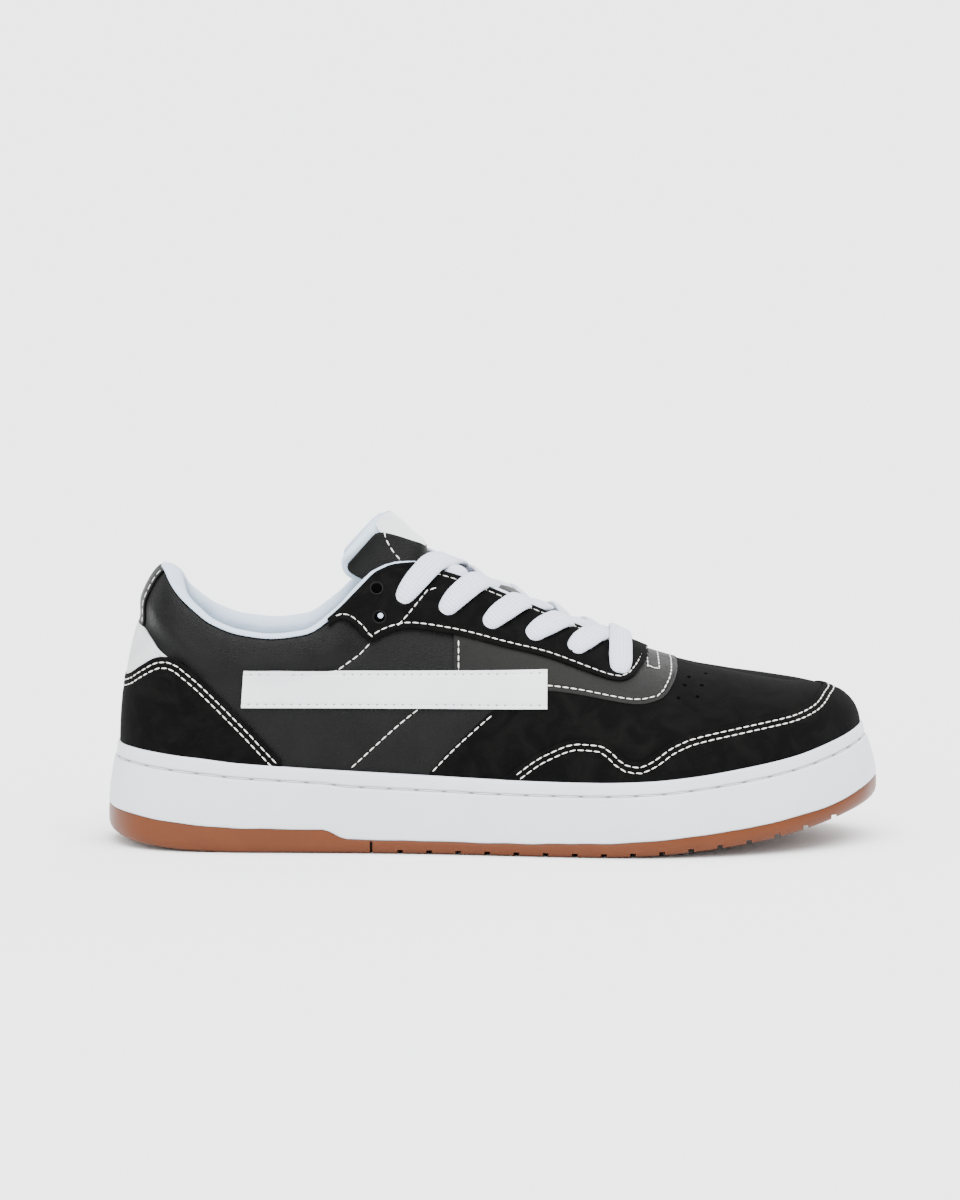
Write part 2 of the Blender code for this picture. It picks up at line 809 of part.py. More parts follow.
def lace_spot(start, end, share):
    """Middle of a strand at a share of its way. Each end is a run, a climb and a side, and the
    start also has the strand's height over the crown, its bow, and its stagger against its
    neighbours."""
    run = start[0] + (end[0] - start[0]) * share + start[4] * (1 - (2 * share - 1) ** 2)
    climb = start[1] + (end[1] - start[1]) * share
    side = start[2] if share < 0.5 else end[2]
    place = run if side < 0 else 2 - run
    fullness = read(CROWN, 4, run)
    out = math.cos(climb * math.pi / 2) ** (2 / fullness) * abs(1 - 2 * share)
    bent = math.acos(out ** (fullness / 2)) / (math.pi / 2)
    inner = min(1.0, max(0.0, (0.5 - abs(share - 0.5) - LACE_DIP[0]) / (LACE_DIP[1] - LACE_DIP[0])))
    inner = inner * inner * (3 - 2 * inner)
    rest = OVERLAY_GAP + OVERLAY + 6 * GAP + LACE_STAGGER + LACE_THICKNESS / 2
    lift = rest + (start[3] - rest) * inner + start[5]
    normal = upper_normal(place, bent)
    return upper_point(place, bent) + normal * lift, normal


def lace_strand(name, start, end, collection, paint):
    """Flat strand with a rectangular section, from eyelet to eyelet over the tongue."""
    bm = bmesh.new()
    spots = [lace_spot(start, end, step / LACE_STEPS) for step in range(LACE_STEPS + 1)]
    rings = []
    for index, (spot, normal) in enumerate(spots):
        ahead = spots[min(index + 1, LACE_STEPS)][0] - spots[max(index - 1, 0)][0]
        across = ahead.cross(normal).normalized()
        up = across.cross(ahead).normalized()
        if index in (0, LACE_STEPS):
            outwards = 1 if index else -1
            spot = spot + ahead.normalized() * outwards * LACE_WIDTH * 0.3 + normal * GAP
        ring = []
        for side, height in ((-1, -1), (1, -1), (1, 1), (-1, 1)):
            reach = across * side * LACE_WIDTH / 2 + up * height * LACE_THICKNESS / 2
            ring.append(bm.verts.new(spot + reach))
        rings.append(ring)
    for back, front in zip(rings, rings[1:]):
        for corner in range(4):
            after = (corner + 1) % 4
            bm.faces.new((back[corner], back[after], front[after], front[corner]))
    bm.faces.new(rings[0][::-1])
    bm.faces.new(rings[-1])
    bmesh.ops.recalc_face_normals(bm, faces=bm.faces)
    return finish(bm, name, collection, paint)


def make_laces(collection, cutters):
    cotton = material("white_cotton", (0.85, 0.87, 0.92), 0.9)
    bar_start = (*EYELETS[0], -1, LACE_CROWN[0] * LACE_RISE, LACE_BOW[0], 0.0)
    bar_end = (*EYELETS[0], 1)
    laces = lace_strand("laces", bar_start, bar_end, collection, cotton)
    for row in range(len(EYELETS) - 1):
        for side in (-1, 1):
            height = LACE_CROWN[row + 1] * LACE_RISE
            start = (*EYELETS[row], side, height, LACE_BOW[row + 1], LACE_STAGGER * side)
            end = (*EYELETS[row + 1], -side)
            strand = lace_strand(f"strand_{row}_{side}", start, end, cutters, cotton)
            strand.hide_render = True
            strand.display_type = "WIRE"
            join = laces.modifiers.new(f"crossing_{row}_{side}", "BOOLEAN")
            join.operation = "UNION"
            join.solver = "MANIFOLD"
            join.object = strand
    return settle(laces)


def settle(piece):
    """Makes a joined piece a plain mesh, and drops slivers that its unions left loose."""
    bpy.context.view_layer.update()
    evaluated = piece.evaluated_get(bpy.context.evaluated_depsgraph_get())
    joined = bpy.data.meshes.new_from_object(evaluated)
    piece.modifiers.clear()
    piece.data = joined
    bm = bmesh.new()
    bm.from_mesh(joined)
    for island in islands(bm)[1:]:
        bmesh.ops.delete(bm, geom=island, context="FACES")
    bm.to_mesh(joined)
    bm.free()
    return piece


def islands(bm):
    """Groups of faces that share edges, the largest first."""
    groups = []
    left = set(bm.faces)
    while left:
        group = [left.pop()]
        for face in group:
            for edge in face.edges:
                for other in edge.link_faces:
                    if other in left:
                        left.remove(other)
                        group.append(other)
        groups.append(group)
    return sorted(groups, key=len, reverse=True)


def clear_scene():
    for piece in list(bpy.data.objects):
        bpy.data.objects.remove(piece, do_unlink=True)


def main():
    clear_scene()
    shoe = fresh_collection("skate_shoe")
    cutters = fresh_collection("cutters")
    make_outsole(shoe, cutters)
    make_midsole(shoe)
    make_insole(shoe)
    make_upper(shoe)
    make_tongue(shoe)
    suede = material("black_suede", (0.006, 0.006, 0.006), 0.95)
    leather = material("black_smooth_leather", (0.03, 0.03, 0.03), 0.4)
    white = material("white_leather", (0.8, 0.81, 0.83), 0.45)
    make_toe_overlay(shoe, suede)
    make_heel_pieces(shoe, suede, white)
    make_facings(shoe, suede, leather)
    make_side_bands(shoe, white)
    on_tongue("lace_keeper", (0.45, 0.60), 0.42, GAP, 1.0 * MM, shoe, leather)
    on_tongue("tongue_label", (0.86, 0.97), 0.50, GAP, 1.0 * MM, shoe, white)
    make_laces(shoe, cutters)


main()
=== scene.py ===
import bisect
import math

import bmesh
import bpy
from mathutils import Matrix, Vector, noise


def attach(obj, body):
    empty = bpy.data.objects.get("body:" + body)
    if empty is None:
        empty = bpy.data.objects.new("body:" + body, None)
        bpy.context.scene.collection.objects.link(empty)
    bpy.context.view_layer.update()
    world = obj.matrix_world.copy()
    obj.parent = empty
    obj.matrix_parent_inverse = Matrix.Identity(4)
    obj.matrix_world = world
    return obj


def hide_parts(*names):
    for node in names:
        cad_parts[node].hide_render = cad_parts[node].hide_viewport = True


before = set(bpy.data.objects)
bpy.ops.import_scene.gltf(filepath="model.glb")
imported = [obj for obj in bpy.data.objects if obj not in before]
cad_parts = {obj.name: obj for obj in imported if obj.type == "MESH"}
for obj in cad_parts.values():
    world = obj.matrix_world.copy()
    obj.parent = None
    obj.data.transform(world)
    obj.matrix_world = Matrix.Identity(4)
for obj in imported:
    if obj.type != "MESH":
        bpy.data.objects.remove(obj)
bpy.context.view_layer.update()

mm = 0.001

# Camera of the photograph: level with the side of the shoe, a little from above
view = dict(aim=(-5.1 * mm, 0, 93.8 * mm), elevation=6.97, distance=3.0, frameHeight=467.5 * mm)

# Studio
studio = dict(
    floorHalf=14.0,
    floorColor=(0.93, 0.93, 0.93),
    ambient=1.9,
    # energy, spread in degrees and the direction that each soft light comes from
    lights=dict(
        overhead=(5.6, 60, (0.1, -0.35, 1.0)),
        frontFill=(1.7, 50, (-0.5, -1.0, 0.55)),
        backRim=(1.4, 40, (0.6, 1.0, 0.8)),
    ),
)


def placeCamera():
    lens = bpy.data.cameras.new("photoCamera")
    lens.sensor_width = 36
    lens.lens = 36 * view["distance"] / view["frameHeight"]
    lens.clip_end = 60
    camera = bpy.data.objects.new("photoCamera", lens)
    bpy.context.scene.collection.objects.link(camera)
    tilt = math.radians(view["elevation"])
    away = Vector((0, -math.cos(tilt), math.sin(tilt)))
    camera.location = Vector(view["aim"]) + away * view["distance"]
    camera.rotation_euler = (-away).to_track_quat("-Z", "Y").to_euler()
    bpy.context.scene.camera = camera


def softLight(name, energy, spread, source):
    lamp = bpy.data.lights.new(name, "SUN")
    lamp.energy = energy
    lamp.angle = math.radians(spread)
    light = bpy.data.objects.new(name, lamp)
    bpy.context.scene.collection.objects.link(light)
    light.location = Vector(source) * 2
    light.rotation_euler = (-Vector(source)).to_track_quat("-Z", "Y").to_euler()


def buildStudio():
    world = bpy.data.worlds.new("studio")
    world.use_nodes = True
    world.node_tree.nodes["Background"].inputs[0].default_value = (0.98, 0.99, 1.0, 1)
    world.node_tree.nodes["Background"].inputs[1].default_value = studio["ambient"]
    bpy.context.scene.world = world
    bm = bmesh.new()
    bmesh.ops.create_grid(bm, x_segments=8, y_segments=8, size=studio["floorHalf"])
    mesh = bpy.data.meshes.new("floor")
    bm.to_mesh(mesh)
    bm.free()
    paper = bpy.data.materials.new("palePaper")
    paper.use_nodes = True
    shader = paper.node_tree.nodes["Principled BSDF"]
    shader.inputs["Base Color"].default_value = (*studio["floorColor"], 1)
    shader.inputs["Roughness"].default_value = 0.9
    shader.inputs["Specular IOR Level"].default_value = 0.1
    mesh.materials.append(paper)
    floor = bpy.data.objects.new("floor", mesh)
    bpy.context.scene.collection.objects.link(floor)
    for name, (energy, spread, source) in studio["lights"].items():
        softLight(name, energy, spread, source)


placeCamera()
buildStudio()
print("camera and studio in place")

# Sizes of the shoe, the same as the solids have
shoe = dict(
    length=300 * mm,
    ball=108 * mm,
    heel=80 * mm,
    instep=124 * mm,
    toeBox=61 * mm,
    collar=107 * mm,
    tongueRise=12 * mm,
    tongueDrop=3.4 * mm,
    throat=32 * mm,
    toeSpring=17 * mm,
    heelBevel=5 * mm,
    gum=5.5 * mm,
    heelStep=3.4 * mm,
    sidewall=24 * mm,
    footbed=13 * mm,
    lean=1.5 * mm,
    lip=2.6 * mm,
    gap=0.3 * mm,
    tuck=2 * mm,
    wall=2.2 * mm,
    padding=7.5 * mm,
    insole=4.0 * mm,
    tongueGap=0.9 * mm,
    tongueThick=5.0 * mm,
)
throatTop, throatSquare, throatEnd = 0.43, 0.665, 0.695

# run, along, lateral side, medial side, as shares of the length and of the width named last
outlineRows = [
    (0.00, 0.000, 0.000, 0.000, "heel"),
    (0.05, 0.009, 0.200, 0.200, "heel"),
    (0.10, 0.036, 0.355, 0.358, "heel"),
    (0.16, 0.083, 0.450, 0.452, "heel"),
    (0.24, 0.160, 0.492, 0.486, "heel"),
    (0.32, 0.250, 0.505, 0.478, "heel"),
    (0.40, 0.343, 0.520, 0.468, "heel"),
    (0.48, 0.437, 0.410, 0.357, "ball"),
    (0.56, 0.533, 0.453, 0.392, "ball"),
    (0.64, 0.623, 0.490, 0.450, "ball"),
    (0.72, 0.710, 0.503, 0.490, "ball"),
    (0.79, 0.793, 0.472, 0.497, "ball"),
    (0.85, 0.867, 0.405, 0.467, "ball"),
    (0.90, 0.923, 0.312, 0.405, "ball"),
    (0.94, 0.962, 0.205, 0.310, "ball"),
    (0.97, 0.988, 0.090, 0.190, "ball"),
    (1.00, 1.000, -0.056, 0.056, "ball"),
]
# along, toe spring, heel bevel, gum, side wall, footbed, lean
soleRows = [
    (0.000, 0.00, 1.00, 1.20, 1.16, 0.88, 2.1),
    (0.040, 0.00, 0.48, 1.40, 1.20, 0.92, 2.0),
    (0.110, 0.00, 0.10, 1.27, 1.22, 1.00, 1.4),
    (0.175, 0.00, 0.00, 1.15, 1.18, 1.04, 1.1),
    (0.280, 0.00, 0.00, 1.07, 1.11, 1.00, 1.0),
    (0.370, 0.00, 0.00, 1.00, 1.07, 0.92, 1.0),
    (0.500, 0.00, 0.00, 0.93, 1.02, 0.77, 1.0),
    (0.630, 0.00, 0.00, 1.05, 0.97, 0.58, 1.0),
    (0.700, 0.04, 0.00, 1.09, 0.96, 0.50, 1.0),
    (0.760, 0.13, 0.00, 1.16, 0.95, 0.45, 1.1),
    (0.830, 0.28, 0.00, 1.21, 0.96, 0.43, 1.3),
    (0.890, 0.47, 0.00, 1.16, 0.97, 0.44, 1.6),
    (0.945, 0.71, 0.00, 1.10, 1.00, 0.45, 2.3),
    (0.980, 0.89, 0.00, 1.30, 0.97, 0.38, 3.1),
    (1.000, 1.00, 0.00, 1.45, 0.93, 0.31, 3.4),
]
# run, along, across, height, fullness of the section
crownRows = [
    (0.00, 0.150, 0.000, 1.000, 2.00),
    (0.10, 0.170, 0.000, 1.000, 2.00),
    (0.16, 0.192, 0.000, 1.000, 1.98),
    (0.24, 0.228, 0.003, 1.000, 1.95),
    (0.32, 0.282, 0.006, 1.000, 1.90),
    (0.40, 0.350, 0.010, 0.990, 1.84),
    (0.48, 0.437, 0.015, 0.845, 1.78),
    (0.56, 0.533, 0.020, 0.610, 1.76),
    (0.64, 0.623, 0.025, 0.375, 1.80),
    (0.72, 0.706, 0.030, 0.185, 1.90),
    (0.79, 0.770, 0.036, 0.100, 2.05),
    (0.85, 0.812, 0.042, 0.060, 2.20),
    (0.90, 0.842, 0.047, 0.032, 2.32),
    (0.94, 0.864, 0.050, 0.014, 2.38),
    (0.97, 0.877, 0.051, 0.004, 2.40),
    (1.00, 0.883, 0.052, 0.000, 2.40),
]
collarRows = [
    (0.00, 1.000), (0.05, 0.985), (0.10, 0.938), (0.16, 0.865), (0.20, 0.814), (0.24, 0.781),
    (0.28, 0.767), (0.32, 0.780), (0.36, 0.860), (0.385, 0.945), (0.405, 1.000), (0.43, 1.020),
]
throatRows = [(0.43, 1.00), (0.50, 0.97), (0.60, 0.88), (0.68, 0.74)]
# run and climb of each laced eyelet, from the toe back
eyeletSpots = [
    (0.675, 0.609), (0.621, 0.625), (0.573, 0.602), (0.527, 0.576), (0.481, 0.564), (0.434, 0.554),
]
bareEyelets = [(0.403, 0.563), (0.407, 0.467)]
# share, run, drop, edge, lift, lean, flare
tongueRows = [
    (0.00, 0.735, 0.00, 0.72, 0.00, 0.00, 1.00),
    (0.22, 0.665, 0.30, 0.68, 0.00, 0.00, 1.00),
    (0.45, 0.570, 1.00, 0.62, 0.00, 0.00, 1.00),
    (0.62, 0.510, 0.80, 0.62, 0.00, 0.00, 1.00),
    (0.72, 0.480, 0.80, 0.62, 0.00, 0.40, 0.94),
    (0.80, 0.460, -0.60, 0.61, 0.10, 0.90, 0.88),
    (0.90, 0.443, -0.70, 0.60, 0.45, 1.10, 0.86),
    (1.00, 0.435, -0.35, 0.59, 1.00, 0.76, 0.88),
]

tableColumns = {}


def slopesOf(places, values, levelPeaks):
    steps = [
        (values[i + 1] - values[i]) / (places[i + 1] - places[i]) for i in range(len(places) - 1)
    ]
    inner = []
    for before, after in zip(steps, steps[1:]):
        if not levelPeaks:
            inner.append((before + after) / 2)
        elif before * after <= 0:
            inner.append(0.0)
        else:
            inner.append(2 * before * after / (before + after))
    return [steps[0]] + inner + [steps[-1]]


def readTable(rows, column, at, levelPeaks=True):
    key = (id(rows), column, levelPeaks)
    if key not in tableColumns:
        places = [row[0] for row in rows]
        values = [row[column] for row in rows]
        tableColumns[key] = (places, values, slopesOf(places, values, levelPeaks))
    places, values, tilt = tableColumns[key]
    if at <= places[0]:
        return values[0]
    if at >= places[-1]:
        return values[-1]
    index = bisect.bisect_right(places, at) - 1
    span = places[index + 1] - places[index]
    u = (at - places[index]) / span
    return (
        (2 * u**3 - 3 * u**2 + 1) * values[index]
        + (u**3 - 2 * u**2 + u) * span * tilt[index]
        + (3 * u**2 - 2 * u**3) * values[index + 1]
        + (u**3 - u**2) * span * tilt[index + 1]
    )


def smooth(share):
    share = min(1.0, max(0.0, share))
    return share * share * (3 - 2 * share)


# The plan is a loop: 0 to 1 up the lateral side, 1 to 2 back down the medial one
lateralHalf = [(run, along * shoe["length"], -side * shoe[of]) for run, along, side, _, of in outlineRows]
medialHalf = [
    (2 - run, along * shoe["length"], side * shoe[of]) for run, along, _, side, of in outlineRows[-2:0:-1]
]
fullLoop = lateralHalf + medialHalf
planLoop = (
    [(place - 2, x, y) for place, x, y in fullLoop[-2:]]
    + fullLoop
    + [(place + 2, x, y) for place, x, y in fullLoop[:3]]
)
midline = (max(row[2] for row in planLoop) + min(row[2] for row in planLoop)) / 2
planCache = {}


def plan(place):
    place %= 2.0
    key = round(place, 6)
    if key not in planCache:
        x = readTable(planLoop, 1, place, False) - shoe["length"] / 2
        y = readTable(planLoop, 2, place, False) - midline
        planCache[key] = Vector((x, y, 0))
    return planCache[key]


def soleSize(column, x):
    return readTable(soleRows, column, min(1.0, max(0.0, x / shoe["length"] + 0.5)))


def treadHeight(x):
    return soleSize(1, x) * shoe["toeSpring"] + soleSize(2, x) * shoe["heelBevel"]


def baseHeight(x):
    return treadHeight(x) + soleSize(3, x) * shoe["gum"]


# The gum steps up under the heel: where the step ends and how long it fades, as shares of the length
heelStepEnd, heelStepFade = 0.312, 0.032


def seamHeight(x):
    fade = smooth((heelStepEnd - (x / shoe["length"] + 0.5)) / heelStepFade)
    return baseHeight(x) + shoe["heelStep"] * fade


def edgeHeight(x):
    return baseHeight(x) + soleSize(4, x) * shoe["sidewall"]


def footbedHeight(x):
    return baseHeight(x) + soleSize(5, x) * shoe["footbed"]


def insetSpot(place, inset):
    tangent = plan(place + 0.004) - plan(place - 0.004)
    return plan(place) + Vector((-tangent.y, tangent.x, 0)).normalized() * inset


def soleSpot(place, inset, leanShare, height):
    spot = insetSpot(place, inset + leanShare * soleSize(6, plan(place).x) * shoe["lean"])
    spot.z = height(spot.x)
    return spot


sectionCache = {}


def runOf(place):
    place %= 2.0
    return place if place <= 1 else 2 - place


def sectionAt(place):
    key = round(place % 2.0, 6)
    if key not in sectionCache:
        run = runOf(place)
        foot = soleSpot(place, shoe["lip"] + shoe["gap"], 1.0, edgeHeight)
        foot.z -= shoe["tuck"]
        crown = Vector(
            (
                (readTable(crownRows, 1, run) - 0.5) * shoe["length"],
                readTable(crownRows, 2, run) * shoe["ball"] - midline,
                shoe["toeBox"] + readTable(crownRows, 3, run) * (shoe["instep"] - shoe["toeBox"]),
            )
        )
        low = footbedHeight(foot.x) + shoe["gap"]
        sectionCache[key] = (foot, crown, readTable(crownRows, 4, run), low)
    return sectionCache[key]


def upperSpot(place, climb):
    foot, crown, fullness, low = sectionAt(place)
    if climb < 0:
        return Vector((foot.x, foot.y, foot.z + (foot.z - low) * climb))
    angle = min(climb, 1.0) * math.pi / 2
    out = max(0.0, math.cos(angle)) ** (2 / fullness) if climb < 1 else 0.0
    up = math.sin(angle) ** (2 / fullness)
    spot = crown + (foot - crown) * out
    spot.z = foot.z + (crown.z - foot.z) * up
    return spot


def plainNormal(place, climb):
    along = upperSpot(place + 0.006, climb) - upperSpot(place - 0.006, climb)
    upwards = upperSpot(place, min(climb + 0.006, 0.999)) - upperSpot(place, max(climb - 0.006, 0.0))
    return along.cross(upwards).normalized()


def upperNormal(place, climb):
    climb = min(max(climb, 0.0), 0.985)
    normal = plainNormal(place, climb)
    ridge = smooth((climb - 0.94) / 0.045)
    if ridge > 0 and runOf(place) > 0.6:
        other = plainNormal(2 - place, climb)
        normal = normal.lerp((normal + other) / 2, ridge)
    return normal.normalized()


def climbOfRise(place, rise):
    fullness = sectionAt(place)[2]
    return math.asin(min(1.0, max(0.0, rise)) ** (fullness / 2)) / (math.pi / 2)


def climbOfHeight(place, height):
    foot, crown, _, _ = sectionAt(place)
    return climbOfRise(place, (height - foot.z) / (crown.z - foot.z))


rimCache = {}


def rimClimb(place):
    # the collar's corner with the throat is rounded over a short way
    key = round(place % 2.0, 6)
    if key not in rimCache:
        soft = 0.022 * smooth(1 - abs(runOf(place) - throatTop) / 0.04)
        parts = [rawRim(place + soft * step / 3) for step in range(-3, 4)]
        rimCache[key] = sum(parts) / len(parts)
    return rimCache[key]


def rawRim(place):
    run = runOf(place)
    if run >= throatEnd:
        return 1.0
    foot, crown, fullness, _ = sectionAt(place)
    if run < throatTop:
        return climbOfHeight(place, readTable(collarRows, 1, run) * shoe["collar"])
    half = readTable(throatRows, 1, run) * shoe["throat"] / 2
    if run > throatSquare:
        turn = min(1.0, (run - throatSquare) / (throatEnd - throatSquare))
        half *= math.sqrt(max(0.0, 1 - turn * turn))
    reach = math.hypot(foot.x - crown.x, foot.y - crown.y)
    return math.acos(min(1.0, half / reach) ** (fullness / 2)) / (math.pi / 2)


# Soft form of the leather: the padded collar, the seams' valleys and slow creases
leatherForm = dict(
    collarPuff=2.4 * mm,
    collarBlend=9 * mm,
    rimTurn=1.5 * mm,
    valleyDepth=0.5 * mm,
    valleyWidth=1.5 * mm,
    waveHeight=0.22 * mm,
    waveLength=26 * mm,
)
collarSeamRows = [
    (0.0, 0.565), (0.06, 0.55), (0.104, 0.495), (0.147, 0.435), (0.175, 0.385), (0.21, 0.349),
    (0.264, 0.342), (0.316, 0.367), (0.362, 0.432), (0.385, 0.496),
]
# Seams on the side, each a row of run and rise
seamCharts = dict(
    heelwardSeam=[(0.377, 0.030), (0.404, 0.130), (0.431, 0.230), (0.458, 0.327)],
    vampSeam=[(0.463, 0.046), (0.484, 0.145), (0.506, 0.245), (0.527, 0.345)],
    collarSeam=[(0.316, 0.367), (0.340, 0.395), (0.362, 0.432), (0.385, 0.496), (0.397, 0.545)],
)
# Soft troughs pressed into the leather: run, rise, half length across, half width, depth
handCreases = [
    (0.238, 0.50, 16 * mm, 4.5 * mm, 0.40 * mm),
    (0.292, 0.47, 13 * mm, 4.0 * mm, 0.35 * mm),
    (0.340, 0.53, 12 * mm, 3.6 * mm, 0.40 * mm),
    (0.172, 0.60, 14 * mm, 4.6 * mm, 0.35 * mm),
    (0.560, 0.50, 10 * mm, 4.2 * mm, 0.30 * mm),
    (0.735, 0.55, 15 * mm, 5.5 * mm, 0.45 * mm),
    (0.768, 0.60, 14 * mm, 5.0 * mm, 0.35 * mm),
]


def chartSpot(place, rise):
    return upperSpot(place, climbOfRise(place, rise))


seamLines = [[chartSpot(run, rise) for run, rise in chart] for chart in seamCharts.values()]
creaseSpots = [(chartSpot(run, rise), half, width, depth) for run, rise, half, width, depth in handCreases]


def distanceToLine(x, z, line):
    best = 1.0
    for a, b in zip(line, line[1:]):
        dx, dz = b.x - a.x, b.z - a.z
        t = min(1.0, max(0.0, ((x - a.x) * dx + (z - a.z) * dz) / (dx * dx + dz * dz)))
        best = min(best, math.hypot(x - a.x - dx * t, z - a.z - dz * t))
    return best


def puffAt(place, climb, spot, bridging=False):
    form = leatherForm
    run = runOf(place)
    total = 0.0
    if run < 0.41 and climb > 0:
        foot, crown, _, _ = sectionAt(place)
        seam = foot.z + readTable(collarSeamRows, 1, run) * (crown.z - foot.z)
        rim = readTable(collarRows, 1, run) * shoe["collar"]
        pad = smooth((spot.z - seam) / form["collarBlend"]) * (1 - smooth((run - 0.35) / 0.045))
        total += pad * (form["collarPuff"] - form["rimTurn"] * math.exp(-max(0.0, rim - spot.z) / (3 * mm)))
    if climb > 0.02 and run > 0.1 and not bridging:
        for line in seamLines:
            away = distanceToLine(spot.x, spot.z, line)
            if away < 4 * mm:
                total -= form["valleyDepth"] * math.exp(-((away / form["valleyWidth"]) ** 2))
        for middle, half, width, depth in creaseSpots:
            dx = (spot.x - middle.x) / width
            dz = (spot.z - middle.z) / half
            if abs(dx) < 3 and abs(dz) < 3:
                trough = math.exp(-dx * dx) - 0.5 * math.exp(-((abs(dx) - 1.7) ** 2))
                total -= depth * trough * math.exp(-dz * dz)
    fade = smooth(climb / 0.12) * smooth((rimClimb(place) - climb) / 0.08 + 0.2)
    wave = noise.noise(spot / form["waveLength"]) + 0.5 * noise.noise(spot * 2.3 / form["waveLength"])
    return total + wave * form["waveHeight"] * fade


def skinSpot(place, climb, lift=0.0, bridging=False):
    spot = upperSpot(place, climb)
    normal = upperNormal(place, climb)
    return spot + normal * (puffAt(place, climb, spot, bridging) + lift), normal


# Node groups of the finishes: two scales and the vector go in, a mask and a height come out
def newGroup(name, *scales):
    group = bpy.data.node_groups.new(name, "ShaderNodeTree")
    for label, value in scales:
        socket = group.interface.new_socket(label, in_out="INPUT", socket_type="NodeSocketFloat")
        socket.default_value = value
    group.interface.new_socket("Vector", in_out="INPUT", socket_type="NodeSocketVector")
    for label in ("Mask", "Height"):
        group.interface.new_socket(label, in_out="OUTPUT", socket_type="NodeSocketFloat")
    return group, group.nodes.new("NodeGroupInput").outputs


def closeGroup(group, mask, height):
    end = group.nodes.new("NodeGroupOutput")
    group.links.new(mask, end.inputs["Mask"])
    group.links.new(height, end.inputs["Height"])
    return group


def noiseNode(group, given, scale, detail, roughness, distortion=0.0):
    # scale is a number or the label of one of the group's inputs
    node = group.nodes.new("ShaderNodeTexNoise")
    node.inputs["Detail"].default_value = detail
    node.inputs["Roughness"].default_value = roughness
    node.inputs["Distortion"].default_value = distortion
    group.links.new(given["Vector"], node.inputs["Vector"])
    if isinstance(scale, str):
        group.links.new(given[scale], node.inputs["Scale"])
    else:
        node.inputs["Scale"].default_value = scale
    return node.outputs["Fac"]


def mathNode(group, operation, *values, clamp=False):
    node = group.nodes.new("ShaderNodeMath")
    node.operation = operation
    node.use_clamp = clamp
    for socket, value in zip(node.inputs, values):
        if isinstance(value, float):
            socket.default_value = value
        else:
            group.links.new(value, socket)
    return node.outputs[0]


def contrastNodes(group, value, start, gain):
    return mathNode(group, "MULTIPLY", mathNode(group, "SUBTRACT", value, start), gain, clamp=True)


def buildNapGroup():
    group, given = newGroup("suedeNap", ("Fibre Scale", 1500), ("Brush Scale", 70))
    fibres = noiseNode(group, given, "Fibre Scale", 4.0, 0.7)
    clumps = noiseNode(group, given, 420.0, 3.0, 0.6)
    brushed = noiseNode(group, given, "Brush Scale", 3.0, 0.6, 1.4)
    height = mathNode(group, "MULTIPLY_ADD", clumps, 0.6, mathNode(group, "MULTIPLY", fibres, 0.6))
    strokes = contrastNodes(group, brushed, 0.42, 2.6)
    mask = mathNode(group, "MULTIPLY_ADD", fibres, 0.35, strokes)
    return closeGroup(group, mathNode(group, "MULTIPLY", mask, 0.75, clamp=True), height)


def buildGrainGroup():
    group, given = newGroup("leatherGrain", ("Grain Scale", 900), ("Mottle Scale", 55))
    cells = group.nodes.new("ShaderNodeTexVoronoi")
    cells.feature = "DISTANCE_TO_EDGE"
    group.links.new(given["Vector"], cells.inputs["Vector"])
    group.links.new(given["Grain Scale"], cells.inputs["Scale"])
    pebble = mathNode(group, "MULTIPLY", cells.outputs["Distance"], 3.0, clamp=True)
    fine = noiseNode(group, given, 2600.0, 2.0, 0.6)
    mottle = noiseNode(group, given, "Mottle Scale", 3.0, 0.55, 0.6)
    mask = contrastNodes(group, mottle, 0.35, 2.4)
    return closeGroup(group, mask, mathNode(group, "MULTIPLY_ADD", fine, 0.35, pebble))


def buildWeaveGroup():
    group, given = newGroup("threadWeave", ("Warp Scale", 900), ("Weft Scale", 900))
    heights = []
    for axis, label in (("X", "Warp Scale"), ("Y", "Weft Scale")):
        wave = group.nodes.new("ShaderNodeTexWave")
        wave.wave_type = "BANDS"
        wave.bands_direction = axis
        wave.inputs["Distortion"].default_value = 1.2
        wave.inputs["Detail"].default_value = 1.0
        wave.inputs["Detail Scale"].default_value = 1.5
        group.links.new(given["Vector"], wave.inputs["Vector"])
        group.links.new(given[label], wave.inputs["Scale"])
        heights.append(wave.outputs["Fac"])
    crossed = mathNode(group, "MULTIPLY", *heights)
    summed = mathNode(group, "ADD", *heights)
    threads = mathNode(group, "MULTIPLY_ADD", crossed, 0.6, mathNode(group, "MULTIPLY", summed, 0.3))
    # painted light and shade: the mask takes the same threads and fuzz as the height, so the weave is
    # painted lighter on its crests and darker in its hollows
    fuzz = noiseNode(group, given, 60.0, 4.0, 0.6)
    fuzzShade = mathNode(group, "MULTIPLY", fuzz, 0.3)
    mask = mathNode(group, "MULTIPLY_ADD", threads, 0.7, fuzzShade, clamp=True)
    return closeGroup(group, mask, mathNode(group, "MULTIPLY_ADD", fuzz, 0.5, threads))


def buildRubberGroup():
    group, given = newGroup("mouldedRubber", ("Pit Scale", 1400), ("Smudge Scale", 34))
    pits = noiseNode(group, given, "Pit Scale", 2.0, 0.6)
    smudges = noiseNode(group, given, "Smudge Scale", 4.0, 0.62, 0.8)
    mask = contrastNodes(group, smudges, 0.45, 2.2)
    return closeGroup(group, mask, mathNode(group, "MULTIPLY_ADD", smudges, 0.4, pits))


effects = dict(
    nap=buildNapGroup(),
    grain=buildGrainGroup(),
    weave=buildWeaveGroup(),
    rubber=buildRubberGroup(),
)

